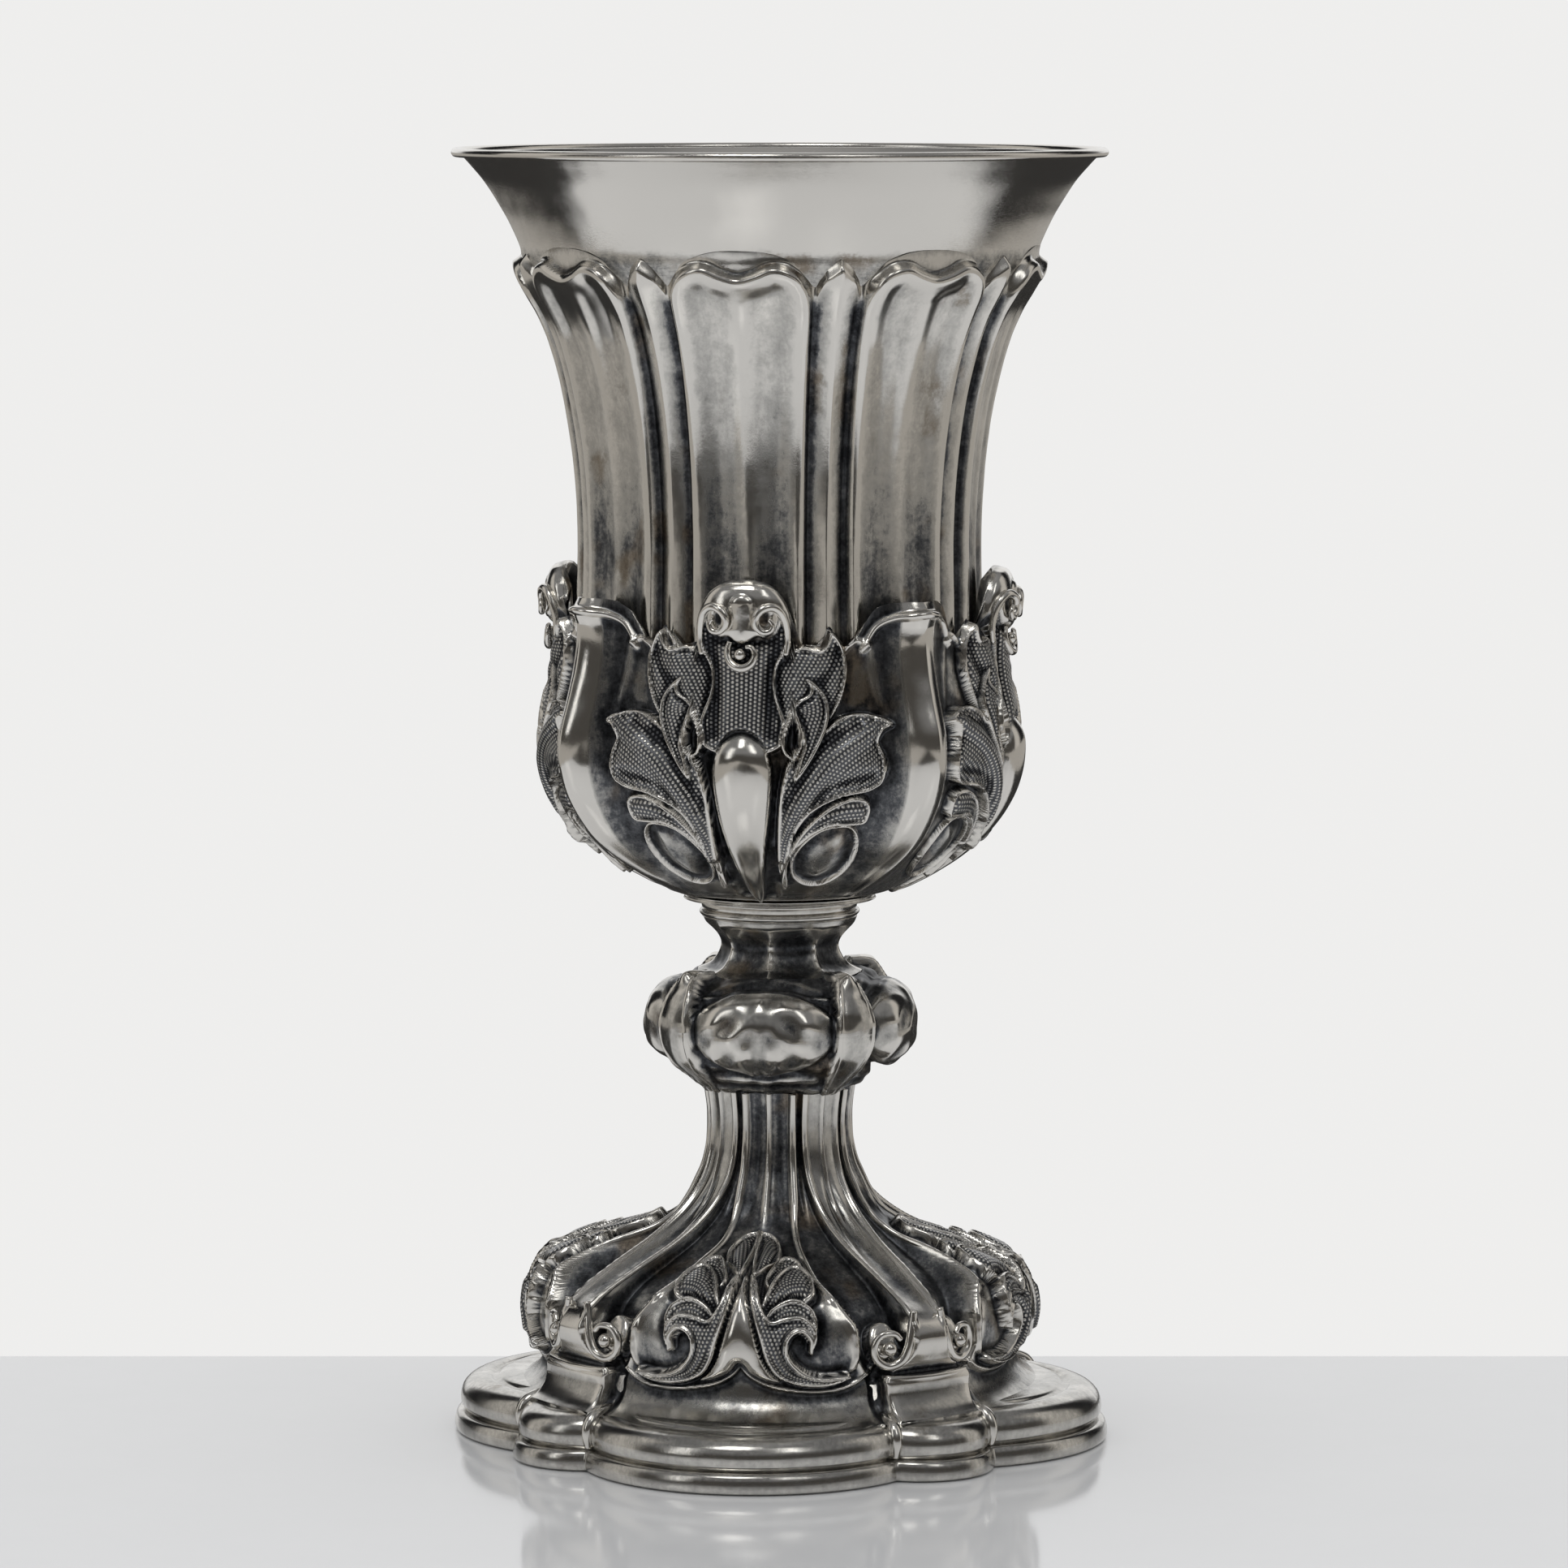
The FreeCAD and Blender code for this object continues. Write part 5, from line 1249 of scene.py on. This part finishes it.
def inset_line(points, per=5):
    """A closed outline given as (inset, height) points."""
    return flowing([(LOBE - inset, z) for inset, z in points], True, per)[:-1]


# the flange's top lies a little below its CAD top, and the moulding comes down to it
FLANGE_DROP = 0.8
step_top = FLANGE_TOP - FLANGE_DROP
flange = inset_line([(5, 0), (1.2, 0), (0.3, 0.15), (0.0, 0.8), (0.05, 2.0), (0.4, 3.1),
                     (1.0, step_top - 0.1), (2.0, step_top), (5, step_top)])
turned_piece("base_flange", "foot", flange, CHASED, 0.55, 0.5, 0.04, 81, radius_at=lobed(8))

low = foot_of("plinth_moulding")
OVOLO_INSET = 8.2
ovolo = inset_line([(2.4, low - FLANGE_DROP), (1.9, low - FLANGE_DROP + 0.15), (1.2, low + 0.5),
                    (1.1, low + 2.0), (1.7, low + 3.6), (3.0, low + 4.8), (4.8, low + 5.45),
                    (6.6, low + 5.5), (7.4, low + 5.1), (OVOLO_INSET, low + 5.3), (8.9, low + 5.75),
                    (9.8, DOME_LOW), (11.5, DOME_LOW + 0.1), (13.4, DOME_LOW + 0.1), (14.6, DOME_LOW),
                    (15.2, DOME_LOW - 0.9), (12, low + 5.0), (6.0, low + 4.4), (3.2, low + 2.7),
                    (2.6, low + 1.0)])
turned_piece("plinth_moulding", "foot", ovolo, CHASED, 0.45, 0.5, 0.05, 83,
             radius_at=lobed(OVOLO_INSET))

band_paths = []
for quarter in range(LEAVES):
    for side in (-1, 1):
        at = math.radians(quarter * QUARTER + side * NOTCH_ANGLE)
        line = flowing([(1.1, low - 0.4), (0.7, low + 1.5), (0.9, low + 3.2), (1.8, low + 4.7),
                        (3.6, low + 5.7), (5.8, low + 6.1), (8.0, low + 6.2)], per=6)
        path = upright(np.stack([NOTCH - line[:, 0], 0 * line[:, 0], line[:, 1]], -1), at)
        size = 0.55 + 0.55 * np.sin(np.pi * np.linspace(0.06, 0.9, len(line)))
        band_paths.append((path, size))
settle(wire_piece("moulding_bands", band_paths, 1.15, CHASED, 0.8), "foot", "moulding_bands")


# ------------------------------------------------------------------ hidden fittings keep their CAD shapes

for node in ("bridge_plate", "cup_boss", "nut_washer", "foot_nut", "tie_rod"):
    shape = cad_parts[node].data
    shape.materials.clear()
    shape.materials.append(STEEL if node == "tie_rod" else BRASS)


# ------------------------------------------------------------------ floor, studio and camera

CAMERA_AZIMUTH = math.radians(9.2)
CAMERA_OUT, CAMERA_UP = 1.316, 0.261
CAMERA_PITCH = math.radians(6.03)
LENS, LENS_SHIFT, SENSOR = 163.2, 0.0026, 36
TABLE_BACK, TABLE_FRONT, TABLE_SIDE = 0.075, 0.58, 0.40
FLOOR_REACH, FLOOR_DROP = 30.0, 0.0002
# what the camera sees behind the table, and the light that reaches dull surfaces
BACKDROP = (0.86, 0.8557, 0.8471, 1)
FILL = (0.92, 0.92, 0.92, 1)
# what the silver mirrors: the room, its ceiling, and boards set up beside and behind the camera
ROOM_DARK = (0.060, 0.056, 0.051, 1)
CEILING_GREY = (0.19, 0.19, 0.192, 1)
CEILING_HIGH = (0.30, 0.30, 0.30, 1)
WARM_BOARD = (0.50, 0.48, 0.448, 1)
PALE_BOARD = (0.86, 0.86, 0.86, 1)
BLACK_BOARD = (0.010, 0.010, 0.011, 1)
# lamps as (bearing, height, half width, half height) in degrees, and brightness
LAMPS = [(-20, 60, 13, 8, 5.0), (28, 44, 7, 13, 1.6), (-52, 26, 5, 16, 1.3)]
# the table, and what a mirrored ray finds past its edges
TABLE_TONES = (0.70, 0.705, 0.715, 1), (0.74, 0.745, 0.755, 1)
ROOM_TONE = (0.050, 0.047, 0.043, 1)
BOARD_TONE = (0.385, 0.368, 0.342, 1)
GAP_TONE = (0.028, 0.027, 0.026, 1)


def studio_world():
    """Studio: a pale backdrop to the camera; what the silver mirrors is set out round the camera."""
    world = bpy.data.worlds.new("studio")
    bpy.context.scene.world = world
    world.use_nodes = True
    g = Graph.__new__(Graph)
    g.tree = world.node_tree
    x, y, z = g.in_camera(g.node("TexCoord", output=0), "VECTOR")
    # the camera looks down by its pitch, which is taken out here
    level, tilt = math.cos(CAMERA_PITCH), math.sin(CAMERA_PITCH)
    up = g.sum(g.times(y, level), g.times(z, -tilt))
    far = g.sum(g.times(z, level), g.times(y, tilt))
    height = g.times(g.maths("ARCSINE", up), 180 / math.pi)
    bearing = g.times(g.maths("ARCTAN2", x, g.times(far, -1.0)), 180 / math.pi)
    side = g.maths("ABSOLUTE", bearing)
    ceiling = g.mix(g.ramp(height, 14, 30), ROOM_DARK, CEILING_GREY)
    ceiling = g.mix(g.ramp(height, 64, 80), ceiling, CEILING_HIGH)
    boards = g.mix(g.between(side, 82, 88, 114, 120), ceiling, WARM_BOARD)
    boards = g.mix(g.between(side, 116, 120, 146, 150), boards, BLACK_BOARD)
    boards = g.mix(g.ramp(side, 148, 154), boards, PALE_BOARD)
    studio = g.mix(g.ramp(height, 56, 44), ceiling, boards)
    studio = g.mix(g.ramp(height, -2, -7), studio, ROOM_DARK)
    for at, lamp_height, wide, tall, glow in LAMPS:
        across = g.maths("ABSOLUTE", g.minus(bearing, at))
        rise = g.maths("ABSOLUTE", g.minus(height, lamp_height))
        soft = g.times(g.ramp(across, wide + 2, wide - 1), g.ramp(rise, tall + 2, tall - 1))
        studio = g.mix(soft, studio, (glow, glow, glow * 0.98, 1))
    lighting = g.mix(g.ray("Glossy"), FILL, studio)
    g.join(g.tree.nodes["Background"].inputs["Color"], g.mix(g.ray("Camera"), lighting, BACKDROP))


def table_material():
    """Glossy pale table that ends a little way behind the object, where the backdrop takes over."""
    g = Graph("pale_table")
    aside, _, depth = g.in_camera(g.node("NewGeometry"), "POINT")
    behind = g.minus(depth, g.in_camera((0.0, 0.0, 0.0), "POINT")[2])
    beyond = g.ramp(behind, TABLE_BACK - 0.0005, TABLE_BACK + 0.0005)
    before = g.ramp(behind, -TABLE_FRONT, -TABLE_FRONT - 0.03)
    past_side = g.ramp(g.maths("ABSOLUTE", aside), TABLE_SIDE, TABLE_SIDE + 0.04)
    g.set(Base_Color=g.mix(g.noise(40, 5, 0.7), *TABLE_TONES), Roughness=0.09, Specular_IOR_Level=0.45)
    mirrored = g.ray("Glossy")
    off_table = g.clipped(g.sum(before, past_side))
    surface = g.shader.outputs[0]
    for share, tone in ((beyond, g.mix(mirrored, BACKDROP, GAP_TONE)),
                        (g.times(off_table, mirrored), g.mix(past_side, ROOM_TONE, BOARD_TONE))):
        surface = g.node("MixShader", (share, surface, g.node("Emission", (tone,))))
    g.join(g.tree.nodes["Material Output"].inputs[0], surface)
    return g.material


studio_world()
floor_mesh = bpy.data.meshes.new("floor")
corners = [(FLOOR_REACH * x, FLOOR_REACH * y, -FLOOR_DROP) for x, y in ((-1, -1), (1, -1), (1, 1), (-1, 1))]
floor_mesh.from_pydata(corners, [], [(0, 1, 2, 3)])
floor_mesh.materials.append(table_material())
link(floor_mesh, "floor")

lens = bpy.data.cameras.new("camera")
lens.lens, lens.sensor_width, lens.shift_x = LENS, SENSOR, LENS_SHIFT
camera = link(lens, "camera")
camera.location = (CAMERA_OUT * math.sin(CAMERA_AZIMUTH), -CAMERA_OUT * math.cos(CAMERA_AZIMUTH), CAMERA_UP)
camera.rotation_euler = (math.pi / 2 - CAMERA_PITCH, 0, CAMERA_AZIMUTH)
bpy.context.scene.camera = camera

bpy.context.scene.view_settings.view_transform = "Standard"
